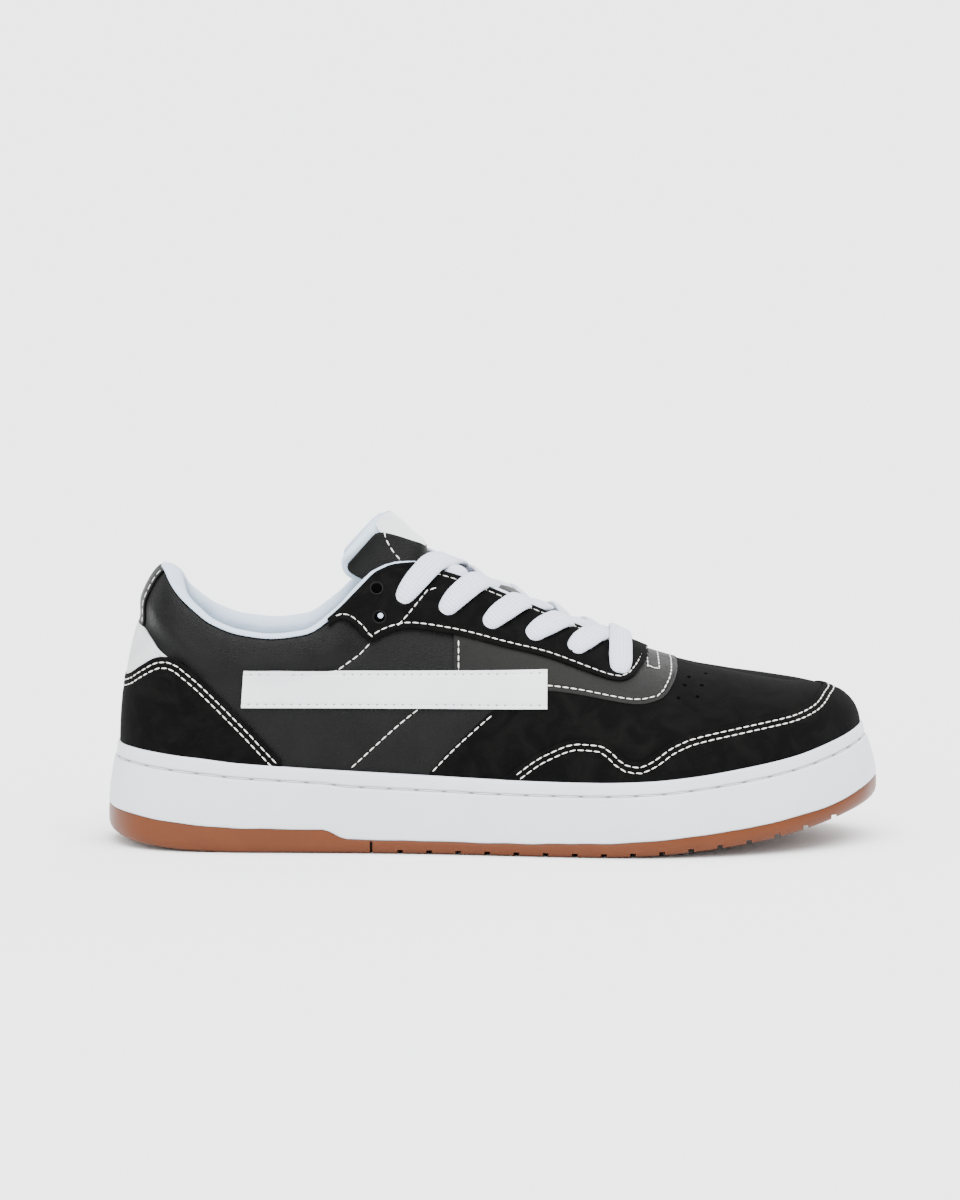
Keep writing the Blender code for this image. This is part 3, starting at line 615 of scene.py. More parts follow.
# One row for each finish: effect and its two scales, roughness range, bump strength and depth, colours
finishes = dict(
    blackSuede=dict(effect="nap", scales=(1500, 75), roughness=(0.92, 1.0), bump=0.55, depth=0.25 * mm,
                    gloss=0.06, colors=((0.0010, 0.0010, 0.0010), (0.0050, 0.0050, 0.0048))),
    blackLeather=dict(effect="grain", scales=(1050, 60), roughness=(0.34, 0.54), bump=0.6, depth=0.16 * mm,
                      gloss=0.11, colors=((0.0018, 0.0018, 0.0018), (0.0040, 0.0040, 0.0039))),
    patchLeather=dict(effect="grain", scales=(1200, 80), roughness=(0.42, 0.58), bump=0.5, depth=0.14 * mm,
                      gloss=0.12, colors=((0.0040, 0.0039, 0.0036), (0.0078, 0.0076, 0.0070))),
    whiteLeather=dict(effect="grain", scales=(1300, 40), roughness=(0.40, 0.50), bump=0.12, depth=0.06 * mm,
                      colors=((0.64, 0.65, 0.67), (0.72, 0.73, 0.75))),
    heelTabLeather=dict(effect="grain", scales=(1300, 60), roughness=(0.45, 0.6), bump=0.2, depth=0.08 * mm,
                        colors=((0.48, 0.49, 0.505), (0.60, 0.61, 0.625))),
    # In the woven finishes the darker colour is painted shade in the weave's hollows and the lighter one is
    # painted light on its crests
    liningMesh=dict(effect="weave", scales=(520, 520), roughness=(0.85, 0.95), bump=0.35, depth=0.25 * mm,
                    sheen=0.25, colors=((0.40, 0.50, 0.62), (0.52, 0.62, 0.74))),
    laceCotton=dict(effect="weave", scales=(1.0, 1.0), roughness=(0.9, 1.0), bump=0.75, depth=0.45 * mm,
                    sheen=0.4, useMap=True, colors=((0.46, 0.52, 0.66), (0.82, 0.86, 0.96))),
    stitchThread=dict(effect="weave", scales=(2600, 2600), roughness=(0.8, 0.9), bump=0.3, depth=0.1 * mm,
                      colors=((0.66, 0.65, 0.62), (0.86, 0.85, 0.82))),
    # grey marks: painted shade in the stitch holes along the side bands and between the cup's threads
    stitchHoleShade=dict(effect="rubber", scales=(900, 200), roughness=(0.8, 0.9), bump=0.1, depth=0.05 * mm,
                   colors=((0.16, 0.16, 0.17), (0.30, 0.30, 0.31))),
    whiteRubber=dict(effect="rubber", scales=(1500, 22), roughness=(0.50, 0.62), bump=0.12, depth=0.05 * mm,
                     colors=((0.58, 0.60, 0.645), (0.65, 0.67, 0.715))),
    gumRubber=dict(effect="rubber", scales=(1200, 30), roughness=(0.38, 0.52), bump=0.15, depth=0.05 * mm,
                   gloss=0.22, colors=((0.088, 0.0215, 0.0042), (0.112, 0.0290, 0.0066))),
    eyeletShade=dict(effect="nap", scales=(900, 90), roughness=(0.9, 1.0), bump=0.1, depth=0.05 * mm,
                     gloss=0.0, colors=((0.001, 0.001, 0.001), (0.003, 0.003, 0.003))),
    footbedCloth=dict(effect="weave", scales=(420, 420), roughness=(0.85, 0.95), bump=0.4, depth=0.3 * mm,
                      sheen=0.2, colors=((0.38, 0.47, 0.58), (0.50, 0.59, 0.70))),
)


def makeFinish(name):
    row = finishes[name]
    material = bpy.data.materials.new(name)
    material.use_nodes = True
    tree = material.node_tree
    shader = tree.nodes["Principled BSDF"]
    coordinates = tree.nodes.new("ShaderNodeTexCoord")
    effect = tree.nodes.new("ShaderNodeGroup")
    effect.node_tree = effects[row["effect"]]
    for index, scale in enumerate(row["scales"]):
        effect.inputs[index].default_value = scale
    source = "UV" if row.get("useMap") else "Object"
    tree.links.new(coordinates.outputs[source], effect.inputs["Vector"])
    # of this node's sockets, 6 and 7 are the two colours and output 2 is their mix
    ramp = tree.nodes.new("ShaderNodeMix")
    ramp.data_type = "RGBA"
    for socket, color in zip((6, 7), row["colors"]):
        ramp.inputs[socket].default_value = (*color, 1)
    tree.links.new(effect.outputs["Mask"], ramp.inputs[0])
    tree.links.new(ramp.outputs[2], shader.inputs["Base Color"])
    rough = tree.nodes.new("ShaderNodeMapRange")
    rough.inputs["To Min"].default_value = row["roughness"][0]
    rough.inputs["To Max"].default_value = row["roughness"][1]
    tree.links.new(effect.outputs["Mask"], rough.inputs["Value"])
    tree.links.new(rough.outputs[0], shader.inputs["Roughness"])
    bump = tree.nodes.new("ShaderNodeBump")
    bump.inputs["Strength"].default_value = row["bump"]
    bump.inputs["Distance"].default_value = row["depth"]
    tree.links.new(effect.outputs["Height"], bump.inputs["Height"])
    tree.links.new(bump.outputs["Normal"], shader.inputs["Normal"])
    shader.inputs["Specular IOR Level"].default_value = row.get("gloss", 0.5)
    if row.get("sheen"):
        shader.inputs["Sheen Weight"].default_value = row["sheen"]
        shader.inputs["Sheen Roughness"].default_value = 0.6
    return material


paints = {name: makeFinish(name) for name in finishes}
print("finishes made")


def finishPiece(bm, name, paint, nodes=()):
    mesh = bpy.data.meshes.new(name)
    bm.to_mesh(mesh)
    bm.free()
    mesh.materials.append(paints[paint])
    mesh.shade_smooth()
    piece = bpy.data.objects.new(name, mesh)
    bpy.context.scene.collection.objects.link(piece)
    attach(piece, "root")
    if nodes:
        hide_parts(*nodes)
    return piece


def addWall(piece, thickness, offset, bevel=0.0):
    wall = piece.modifiers.new("wall", "SOLIDIFY")
    wall.thickness = thickness
    wall.offset = offset
    if bevel:
        edge = piece.modifiers.new("edge", "BEVEL")
        edge.width = bevel
        edge.segments = 2
        edge.limit_method = "ANGLE"
        edge.angle_limit = math.radians(55)


weld = 0.02 * mm


def mappedGrid(columns, rows, spotOf):
    bm = bmesh.new()
    bmesh.ops.create_grid(bm, x_segments=columns, y_segments=rows, size=0.5)
    for vert in bm.verts:
        vert.co = spotOf(round((vert.co.x + 0.5) * columns), round((vert.co.y + 0.5) * rows))
    bmesh.ops.remove_doubles(bm, verts=bm.verts, dist=weld)
    return bm


def roundPlaces(step, extra=()):
    # places up the lateral side and back down the medial one
    runs = [index * step for index in range(round(1 / step) + 1)]
    runs = sorted({round(run, 6) for run in runs} | {round(run, 6) for run in extra})
    return runs + [2 - run for run in runs[-2:0:-1]]


def roundGrid(places, rows, spotOf):
    # a grid that goes once round the shoe and closes on itself
    count = len(places)
    return mappedGrid(count, rows, lambda column, row: spotOf(places[column % count], row))


# Sole
soleForm = dict(
    placeStep=1 / 150,
    across=18,
    roundEdge=3.2 * mm,
    # inset and rise of the round edge, as shares of its radius, then plain rows up to the glue line
    profile=[(1.0, 0.0), (0.62, 0.08), (0.32, 0.26), (0.12, 0.55), (0.0, 1.05)],
    plainRows=3,
    topInset=0.25 * mm,
    notchPitch=11.2 * mm,
    notchWidth=2.2 * mm,
    notchDepth=1.8 * mm,
    slitX=(0.343 - 0.5) * shoe["length"],
    slitWidth=1.1 * mm,
    slitLength=14 * mm,
    slitDepth=5 * mm,
    cutterReach=10 * mm,
    glueWander=0.30 * mm,
    glueWaves=95,
)


def glueLine(x):
    return seamHeight(x) + soleForm["glueWander"] * noise.noise(Vector((x * soleForm["glueWaves"], 0.3, 0)))


def closeRing(bm, ring, upwards):
    # fills a ring of the sole with a grid between its lateral and its medial half
    toe = len(ring) // 2
    across = soleForm["across"]
    grid = bmesh.ops.create_grid(bm, x_segments=toe, y_segments=across, size=0.5)
    faces = {face for vert in grid["verts"] for face in vert.link_faces}
    for vert in grid["verts"]:
        index = round((vert.co.x + 0.5) * toe)
        share = round((vert.co.y + 0.5) * across) / across
        vert.co = ring[index].lerp(ring[-index], share)
    if not upwards:
        bmesh.ops.reverse_faces(bm, faces=list(faces))


def closedGrid(places, rows, spotOf):
    # rings from the underside to the top, with both ends filled
    bm = roundGrid(places, rows, spotOf)
    for row, upwards in ((0, False), (rows, True)):
        closeRing(bm, [spotOf(place, row) for place in places], upwards)
    bmesh.ops.remove_doubles(bm, verts=bm.verts, dist=weld)
    return bm


def buildGumSole():
    form = soleForm
    places = roundPlaces(form["placeStep"])
    profile, edge = form["profile"], form["roundEdge"]

    def spotOf(place, row):
        if row < len(profile):
            inset, rise = profile[row]
            return soleSpot(place, edge * inset, 0.0, lambda x: treadHeight(x) + edge * rise)
        share = (row - len(profile) + 1) / form["plainRows"]

        def height(x):
            low = treadHeight(x) + profile[-1][1] * edge
            return low + (glueLine(x) - shoe["gap"] * 0.5 - low) * share

        return soleSpot(place, form["topInset"] if share == 1 else 0.0, 0.0, height)

    bm = closedGrid(places, len(profile) + form["plainRows"] - 1, spotOf)
    piece = finishPiece(bm, "gumSole", "gumRubber", ["outsole"])

    # a slit in each side, then notches across the whole tread up to the toe
    slit, pitch = form["slitX"], form["notchPitch"]
    boxes = []
    for half in ([place for place in places if place < 1], [place for place in places if place > 1]):
        near = min(half, key=lambda place: abs(plan(place).x - slit))
        boxes.append((slit, plan(near).y, form["slitWidth"], form["slitLength"], form["slitDepth"]))
    for index in range(int((shoe["length"] / 2 - slit - pitch) / pitch)):
        x = slit + (index + 1) * pitch
        boxes.append((x, 0, form["notchWidth"], 2 * shoe["ball"], form["notchDepth"]))
    cutter = bmesh.new()
    for x, y, wide, across, depth in boxes:
        high = depth + form["cutterReach"]
        matrix = Matrix.Translation((x, y, treadHeight(x) + depth - high / 2))
        bmesh.ops.create_cube(cutter, size=1, matrix=matrix @ Matrix.Diagonal((wide, across, high, 1)))
    cutPiece(piece, cutter)


def cutPiece(piece, cutter):
    # a boolean that is applied at once, so no cutter is left in the scene
    mesh = bpy.data.meshes.new("cutter")
    cutter.to_mesh(mesh)
    cutter.free()
    tool = bpy.data.objects.new("cutter", mesh)
    bpy.context.scene.collection.objects.link(tool)
    cut = piece.modifiers.new("cut", "BOOLEAN")
    cut.operation = "DIFFERENCE"
    cut.solver = "EXACT"
    cut.object = tool
    bpy.context.view_layer.update()
    shaped = piece.evaluated_get(bpy.context.evaluated_depsgraph_get())
    result = bpy.data.meshes.new_from_object(shaped)
    piece.modifiers.remove(cut)
    old = piece.data
    piece.data = result
    result.shade_smooth()
    result.set_sharp_from_angle(angle=math.radians(42))
    bpy.data.meshes.remove(old)
    bpy.data.objects.remove(tool)
    bpy.data.meshes.remove(mesh)


cupForm = dict(
    placeStep=1 / 150,
    # share of the wall's height, inset in mm
    profile=[
        (0.0, 0.45), (0.02, 0.12), (0.05, 0.0), (0.3, -0.12), (0.55, -0.1), (0.70, 0.0), (0.735, 0.02),
        (0.748, 0.15), (0.754, 0.6), (0.758, 1.45), (0.786, 1.45), (0.790, 1.0), (0.798, 0.65),
        (0.82, 0.55), (0.94, 0.5), (0.975, 0.6), (0.993, 0.85), (1.0, 1.25), (1.0, 2.3), (0.985, 2.6),
    ],
    stitchShare=0.772,
    stitchPitch=10.6 * mm,
    stitchLength=8.4 * mm,
    stitchThick=0.62 * mm,
    stitchInset=1.0 * mm,
    gapLength=2.0 * mm,
    gapThick=0.42 * mm,
)


def cupSpot(place, share, inset):
    def height(x):
        return glueLine(x) + share * (edgeHeight(x) - glueLine(x))

    leanShare = smooth(share * 0.9) * 0.7 + share * 0.3
    return soleSpot(place, inset, leanShare, height)


def buildCup():
    form = cupForm
    rows = len(form["profile"])

    def spotOf(place, row):
        if row == rows:
            return soleSpot(place, shoe["lip"], 1.0, footbedHeight)
        share, inset = form["profile"][row]
        return cupSpot(place, share, inset * mm)

    bm = closedGrid(roundPlaces(form["placeStep"]), rows, spotOf)
    finishPiece(bm, "whiteCup", "whiteRubber", ["midsole"])

    # long threads that lie in the groove all round, and the shade between their ends
    track = [cupSpot(index / 400, form["stitchShare"], form["stitchInset"]) for index in range(801)]
    for name, paint, start, length, thick in (
        ("cupStitches", "whiteRubber", 0.5, form["stitchLength"], form["stitchThick"]),
        ("cupStitchShade", "stitchHoleShade", 1.0, form["gapLength"], form["gapThick"]),
    ):
        bm = bmesh.new()
        for middle, ahead in evenSpots(track, form["stitchPitch"], start):
            addStitch(bm, middle, ahead, Vector((0, 0, 1)), length, thick, 1.0)
        finishPiece(bm, name, paint)


def evenSpots(track, pitch, start=0.5):
    # middles and directions of stitches spaced evenly along a line of points
    lengths = [0.0]
    for a, b in zip(track, track[1:]):
        lengths.append(lengths[-1] + (b - a).length)
    count = max(1, round(lengths[-1] / pitch))
    spots = []
    for index in range(count):
        at = lengths[-1] * (index + start) / count
        k = min(len(track) - 2, max(0, bisect.bisect_right(lengths, at) - 1))
        span = lengths[k + 1] - lengths[k]
        share = (at - lengths[k]) / span if span else 0
        ahead = track[k + 1] - track[k]
        spots.append((track[k].lerp(track[k + 1], share), ahead.normalized()))
    return spots


def addStitch(bm, middle, ahead, normal, length, thick, flat=0.8):
    across = ahead.cross(normal).normalized()
    up = across.cross(ahead).normalized()
    turn = Matrix((across, up, ahead)).transposed().to_4x4()
    scale = Matrix.Diagonal((thick / 2, thick / 2 * flat, length / 2, 1))
    bmesh.ops.create_uvsphere(
        bm, u_segments=6, v_segments=5, radius=1, matrix=Matrix.Translation(middle) @ turn @ scale
    )


buildGumSole()
buildCup()
print("sole made")


footbedForm = dict(
    columns=110,
    across=26,
    thickness=3.2 * mm,
    edge=0.6 * mm,
    sink=0.6 * mm,
    rimRise=2.4 * mm,
    archRise=4.0 * mm,
    archRun=0.42,
    archLength=0.16,
)


def buildFootbed():
    form = footbedForm
    inset = shoe["lip"] + shoe["gap"] + shoe["wall"] + 2 * shoe["gap"]

    def spotOf(column, row):
        run = min(0.9995, max(0.0005, column / form["columns"]))
        share = row / form["across"]
        lateral = soleSpot(run, inset, 1.0, footbedHeight)
        medial = soleSpot(2 - run, inset, 1.0, footbedHeight)
        spot = lateral.lerp(medial, share)
        rim = 1 - (1 - abs(2 * share - 1) ** 4) * smooth(min(run, 1 - run) / 0.05)
        arch = math.exp(-(((run - form["archRun"]) / form["archLength"]) ** 2))
        arch *= smooth((share - 0.55) / 0.45)
        spot.z = footbedHeight(spot.x) + shoe["gap"] + shoe["insole"] - form["sink"]
        spot.z += form["rimRise"] * rim + form["archRise"] * arch
        return spot

    bm = mappedGrid(form["columns"], form["across"], spotOf)
    piece = finishPiece(bm, "footbed", "footbedCloth", ["insole"])
    addWall(piece, form["thickness"], -1, form["edge"])


buildFootbed()

# Upper's leather skin and the padded lining, with more columns where the rim turns
shellForm = dict(placeStep=1 / 190, rows=62, thickness=1.1 * mm)
turnRuns = [
    0.4245, 0.4275, 0.43, 0.433, 0.655, 0.66, 0.668, 0.672,
    0.676, 0.680, 0.684, 0.688, 0.691, 0.693, 0.695,
]


def buildShell():
    form = shellForm

    def spotOf(place, row):
        if row == 0:
            return upperSpot(place, -0.9)
        return skinSpot(place, rimClimb(place) * (row - 1) / form["rows"])[0]

    bm = roundGrid(roundPlaces(form["placeStep"], turnRuns), form["rows"] + 1, spotOf)
    piece = finishPiece(bm, "leatherShell", "blackLeather", ["upper"])
    addWall(piece, form["thickness"], -1)


liningForm = dict(
    placeStep=1 / 130,
    rollRows=9,
    wallRows=22,
    rollHeight=2.1 * mm,
    throatRoll=1.5 * mm,
    bare=2.3 * mm,
    # the padding grows over these shares of the length and of the collar's height
    padLength=0.06,
    padFoot=0.5,
    padBlend=0.2,
    bulge=1.4 * mm,
    bulgeDrop=12 * mm,
    bulgeHeight=8 * mm,
    fabric=0.5 * mm,
)


def liningDepth(place, spot):
    form = liningForm
    grow = form["padLength"] * shoe["length"]
    ahead = smooth((sectionAt(throatTop)[1].x - grow - spot.x) / grow)
    above = smooth((spot.z - form["padFoot"] * shoe["collar"]) / (form["padBlend"] * shoe["collar"]))
    deep = form["bare"] + (shoe["padding"] - form["bare"]) * ahead * above
    below = readTable(collarRows, 1, runOf(place)) * shoe["collar"] - spot.z
    swell = math.exp(-(((below - form["bulgeDrop"]) / form["bulgeHeight"]) ** 2))
    return deep + form["bulge"] * ahead * swell


def rimFrame(place):
    here, normal = skinSpot(place, rimClimb(place))
    before = skinSpot(place - 0.004, rimClimb(place - 0.004))[0]
    after = skinSpot(place + 0.004, rimClimb(place + 0.004))[0]
    tangent = (after - before).normalized()
    return here, normal, normal.cross(tangent).normalized()


def rollSize(run):
    # the roll gets lower along the throat and laps over the leather's edge at its top
    form = liningForm
    high = form["rollHeight"] + (form["throatRoll"] - form["rollHeight"]) * smooth((run - 0.34) / 0.08)
    high *= 1 - 0.85 * smooth((run - 0.455) / 0.04)
    lap = (0.1 + 0.6 * smooth((run - 0.33) / 0.06) * (1 - smooth((run - 0.46) / 0.03))) * mm
    return high, lap


def buildLining():
    form = liningForm
    frames = {}

    def spotOf(place, row):
        rim = rimClimb(place)
        if row >= form["rollRows"]:
            down = row - form["rollRows"]
            climb = -0.95 if down == form["wallRows"] else rim * (1 - down / (form["wallRows"] - 1))
            spot = upperSpot(place, climb)
            return spot - upperNormal(place, climb) * (liningDepth(place, spot) + shoe["gap"])
        if place not in frames:
            frames[place] = rimFrame(place)
        here, normal, up = frames[place]
        inner = here - normal * (liningDepth(place, here) + shoe["gap"])
        if runOf(place) >= throatEnd:
            return inner
        high, lap = rollSize(runOf(place))
        outer = here + normal * lap
        turn = math.pi * row / form["rollRows"]
        return (outer + inner) / 2 + (outer - inner) / 2 * math.cos(turn) + up * high * math.sin(turn) ** 0.8

    places = roundPlaces(form["placeStep"], turnRuns)
    bm = roundGrid(places, form["rollRows"] + form["wallRows"], spotOf)
    piece = finishPiece(bm, "collarLining", "liningMesh")
    addWall(piece, form["fabric"], 1)


buildShell()
buildLining()
print("upper and lining made")

# Panels that are sewn onto the leather
toeRows = [
    (0.541, 0.03), (0.586, 0.20), (0.628, 0.30), (0.654, 0.31), (0.667, 0.28), (0.686, 0.20),
    (0.698, 0.19), (0.709, 0.22), (0.736, 0.35), (0.761, 0.43), (0.802, 0.50), (0.845, 0.56),
    (0.880, 0.61), (0.909, 0.68), (0.959, 0.86), (1.000, 0.92),
]
counterRows = [
    (0.000, 0.31), (0.050, 0.340), (0.080, 0.382), (0.104, 0.418), (0.120, 0.4325), (0.138, 0.4365),
    (0.156, 0.426), (0.175, 0.398), (0.202, 0.345), (0.254, 0.205), (0.300, 0.045),
]
tabRows = [(0.000, 0.555), (0.050, 0.545), (0.085, 0.507), (0.112, 0.465), (0.136, 0.436)]
eyestayRows = [
    (0.349, 0.60), (0.366, 0.63), (0.382, 0.60), (0.397, 0.55), (0.412, 0.58), (0.428, 0.61),
    (0.444, 0.63), (0.491, 0.655), (0.537, 0.675), (0.606, 0.715), (0.655, 0.720), (0.675, 0.737),
    (0.690, 0.79), (0.701, 0.87), (0.710, 0.96),
]
patchRows = [
    (0.489, 0.44), (0.560, 0.47), (0.588, 0.53), (0.627, 0.57), (0.660, 0.59), (0.696, 0.62),
    (0.729, 0.71), (0.741, 0.82), (0.748, 0.92), (0.7505, 0.995),
]
vampRows = [
    (0.463, 0.03), (0.484, 0.135), (0.506, 0.24), (0.527, 0.345), (0.556, 0.46), (0.590, 0.56),
    (0.620, 0.60), (0.650, 0.70), (0.700, 1.0),
]
band = dict(low=56 * mm, high=70 * mm, first=0.252, last=0.590, holes=1.4 * mm)

# Rows of a panel near its edges, and how the stitches press the leather in
panelEdge = dict(
    fine=[step * mm for step in (0.0, 0.5, 1.1, 1.6, 2.0, 2.4, 3.0, 3.7, 4.2, 4.7, 6.0)],
    pinchDepth=0.34 * mm,
    pinchWidth=0.55 * mm,
    edgeDrop=0.12 * mm,
    edgeWidth=0.8 * mm,
    bevel=0.3 * mm,
)


def stations(first, last, step=1 / 150):
    count = max(2, round((last - first) / step))
    return [first + (last - first) * index / count for index in range(count + 1)]


def bothSides(places):
    return [places, [2 - place for place in places[::-1]]]


def aroundToe(first):
    side = stations(first, 1.0)
    return side + [2 - place for place in side[-2::-1]]


def aroundHeel(last):
    side = stations(0.0, last)
    return [-place for place in side[:0:-1]] + side


def aboveCup(place):
    foot, crown, _, _ = sectionAt(place)
    return climbOfRise(place, (shoe["tuck"] - 0.4 * mm) / (crown.z - foot.z))


def tableClimb(rows, place, shift=0.0):
    foot, crown, _, _ = sectionAt(place)
    return climbOfRise(place, readTable(rows, 1, runOf(place)) + shift / (crown.z - foot.z))


def pinchAt(distance, threads):
    # how far a stitched edge is pulled in at a distance from it
    sink = panelEdge["edgeDrop"] * math.exp(-distance / panelEdge["edgeWidth"]) if threads else 0.0
    for thread in threads:
        sink += panelEdge["pinchDepth"] * math.exp(-(((distance - thread) / panelEdge["pinchWidth"]) ** 2))
    return sink


def buildPanel(name, sides, lowAt, highAt, paint, slotName, nodes, **sizes):
    # sizes: lift and thickness, middle rows, stitch rows along the low and the high edge, and
    # bridging where the panel spans the seams' valleys
    middle = sizes.get("middle", 14)
    lowStitches, highStitches = sizes.get("lowRows", ()), sizes.get("highRows", ())
    bridging = sizes.get("bridging", False)
    fine = panelEdge["fine"]
    rows = 2 * (len(fine) - 1) + middle
    bm = bmesh.new()
    for places in sides:
        columns = len(places) - 1
        widths = []
        for index, place in enumerate(places):
            low, high = lowAt(place), highAt(place)
            column = upperSpot(place, high) - upperSpot(place, low)
            span = max(column.length, 0.05 * mm)
            before, after = places[max(index - 1, 0)], places[min(index + 1, columns)]
            slants = []
            for edge in (lowAt, highAt):
                along = (upperSpot(after, edge(after)) - upperSpot(before, edge(before))).normalized()
                slants.append(max(0.45, column.normalized().cross(along).length))
            squeeze = min(1.0, 0.45 * span * min(slants) / fine[-1])
            widths.append((low, high, span, squeeze, *slants))

        def spotOf(column, row):
            low, high, span, squeeze, lowSlant, highSlant = widths[column]
            if row < len(fine):
                down = fine[row] * squeeze / lowSlant
            elif row > rows - len(fine):
                down = span - fine[rows - row] * squeeze / highSlant
            else:
                first, last = fine[-1] * squeeze / lowSlant, fine[-1] * squeeze / highSlant
                down = first + (span - first - last) * (row - len(fine) + 1) / middle
            sink = pinchAt(down * lowSlant, lowStitches) + pinchAt((span - down) * highSlant, highStitches)
            climb = low + (high - low) * (down / span)
            return skinSpot(places[column], climb, sizes["lift"] - sink, bridging)[0]

        part = mappedGrid(columns, rows, spotOf)
        mesh = bpy.data.meshes.new("part")
        part.to_mesh(mesh)
        part.free()
        bm.from_mesh(mesh)
        bpy.data.meshes.remove(mesh)
    piece = finishPiece(bm, name, paint, nodes)
    addWall(piece, sizes["thickness"], 1, panelEdge["bevel"])


# Edges of the panels: each gives the climb of its line at a place
def lineOf(rows, shift=0.0):
    return lambda place: tableClimb(rows, place, shift)


def lineOverCup(rows):
    return lambda place: max(aboveCup(place) + 0.01, tableClimb(rows, place))


def levelLine(height):
    return lambda place: climbOfHeight(place, height)


toeTop, counterTop, vampHigh = lineOverCup(toeRows), lineOverCup(counterRows), lineOverCup(vampRows)
tabLow, tabTop, bindingLow = lineOf(counterRows, -1.5 * mm), lineOf(tabRows), lineOf(tabRows, -1.0 * mm)
eyestayLow, patchLow = lineOf(eyestayRows), lineOf(patchRows)
bandLow, bandHigh = levelLine(band["low"]), levelLine(band["high"])
eyestayFront, patchFront = eyestayRows[-1][0], patchRows[-1][0]


def eyestayHigh(place):
    return max(rimClimb(place), eyestayLow(place) + 0.004)


def patchHigh(place):
    if runOf(place) > eyestayFront:
        return 1.0
    return min(1.0, tableClimb(eyestayRows, place, 2 * mm))


# The fronts of the eyestay and of the patch turn steeply, so their columns stand closer there
def eyestayPlaces(first, last):
    return stations(first, 0.684)[:-1] + stations(0.684, last, 1 / 800)


def patchPlaces(first, last):
    return stations(first, 0.735)[:-1] + stations(0.735, last, 1 / 900)


row1, row2 = 2.0 * mm, 4.2 * mm

buildPanel(
    "vampSuede", [aroundToe(0.463)], aboveCup, vampHigh, "blackSuede", "suede", [],
    lift=0.0, thickness=0.65 * mm, middle=26,
)
buildPanel(
    "toeOverlay", [aroundToe(0.541)], aboveCup, toeTop, "blackSuede", "suede", ["toe_overlay"],
    lift=0.45 * mm, thickness=1.2 * mm, highRows=(row1, row2),
)
buildPanel(
    "heelCounter", [aroundHeel(0.300)], aboveCup, counterTop, "blackSuede", "suede", ["heel_counter"],
    lift=0.1 * mm, thickness=1.6 * mm, highRows=(row1, row2),
)
buildPanel(
    "heelTab", [aroundHeel(0.134)], tabLow, tabTop, "heelTabLeather", "white_leather", ["heel_tab"],
    lift=0.1 * mm, thickness=1.0 * mm, middle=8, highRows=(1.6 * mm,),
)
buildPanel(
    "vampPatch", bothSides(patchPlaces(0.489, patchFront)), patchLow, patchHigh,
    "patchLeather", "smooth_leather", ["vamp_patch"],
    lift=0.35 * mm, thickness=0.75 * mm, lowRows=(row1,), bridging=True,
)
buildPanel(
    "suedeEyestay", bothSides(eyestayPlaces(0.349, eyestayFront)), eyestayLow, eyestayHigh,
    "blackSuede", "suede", ["eyestay"],
    lift=0.1 * mm, thickness=2.0 * mm, lowRows=(row1,), highRows=(row1,),
)
buildPanel(
    "sideBands", bothSides(stations(band["first"], band["last"])), bandLow, bandHigh,
    "whiteLeather", "white_leather", ["side_band_lateral", "side_band_medial"],
    lift=0.05 * mm, thickness=1.5 * mm, middle=6, bridging=True,
    lowRows=(band["holes"],), highRows=(band["holes"],),
)
buildPanel(
    "heelBinding", [aroundHeel(0.045)], bindingLow, rimClimb, "blackLeather", "smooth_leather", [],
    lift=0.0, thickness=0.8 * mm, middle=8,
)
print("panels made")


# Threads, each row lifted by its panel's thickness
threadForm = dict(
    pitch=3.15 * mm,
    length=2.65 * mm,
    thick=0.57 * mm,
    lifts=dict(toe=1.52 * mm, heel=1.58 * mm, binding=0.75 * mm, eyestay=1.9 * mm, patch=1.15 * mm,
               patchBack=1.05 * mm, leather=0.15 * mm, vamp=0.80 * mm, aboveEyestay=2.1 * mm),
    vampInwards=1.3 * mm,
    bindingRun=0.037,
    patchBackRun=0.494,
    # run and height of the short row across the eyestay, between its bare and its laced eyelets
    acrossEyestay=[(0.427, 86.5), (0.438, 90.5), (0.449, 95.0), (0.459, 99.0), (0.470, 100.0)],
    # the narrow loop before the throat: run and lowest climb of its sides, and the turn between them
    loopSides=((0.7115, 0.715), (0.7265, 0.735)),
    loopTurn=[(0.7115, 0.735), (0.7165, 0.731), (0.7215, 0.731), (0.7265, 0.735)],
    loopTop=0.985,
)
holeForm = dict(pitch=3.3 * mm, length=0.9 * mm, thick=0.6 * mm)
holeLift = 1.28 * mm


def offsetChart(track, distance):
    # moves a line of places and climbs square to itself along the surface
    spots = [upperSpot(place, climb) for place, climb in track]
    small = 0.003
    moved = []
    for index, (place, climb) in enumerate(track):
        ahead = (spots[min(index + 1, len(spots) - 1)] - spots[max(index - 1, 0)]).normalized()
        wanted = upperNormal(place, climb).cross(ahead).normalized() * distance
        u = (upperSpot(place + small, climb) - upperSpot(place - small, climb)) / (2 * small)
        v = (upperSpot(place, min(climb + small, 0.999)) - upperSpot(place, climb - small)) / (2 * small)
        uu, uv, vv = u.dot(u), u.dot(v), v.dot(v)
        wu, wv = wanted.dot(u), wanted.dot(v)
        det = uu * vv - uv * uv
        if abs(det) < 1e-12:
            moved.append((place, climb))
            continue
        moved.append((place + (wu * vv - wv * uv) / det, climb + (wv * uu - wu * uv) / det))
    return moved


def sewRow(bm, track, lift, **sizes):
    form = {**threadForm, **sizes}
    spots, normals = zip(*(skinSpot(place, climb, lift) for place, climb in track))
    for middle, ahead in evenSpots(spots, form["pitch"]):
        near = min(range(len(spots)), key=lambda k: (spots[k] - middle).length_squared)
        addStitch(bm, middle, ahead, normals[near], form["length"], form["thick"])


def sewBoth(bm, track, lift, inwards=0.0, **sizes):
    mirrored = [(2 - place, climb) for place, climb in track]
    for line, distance in ((track, inwards), (mirrored, -inwards)):
        sewRow(bm, offsetChart(line, distance) if distance else line, lift, **sizes)


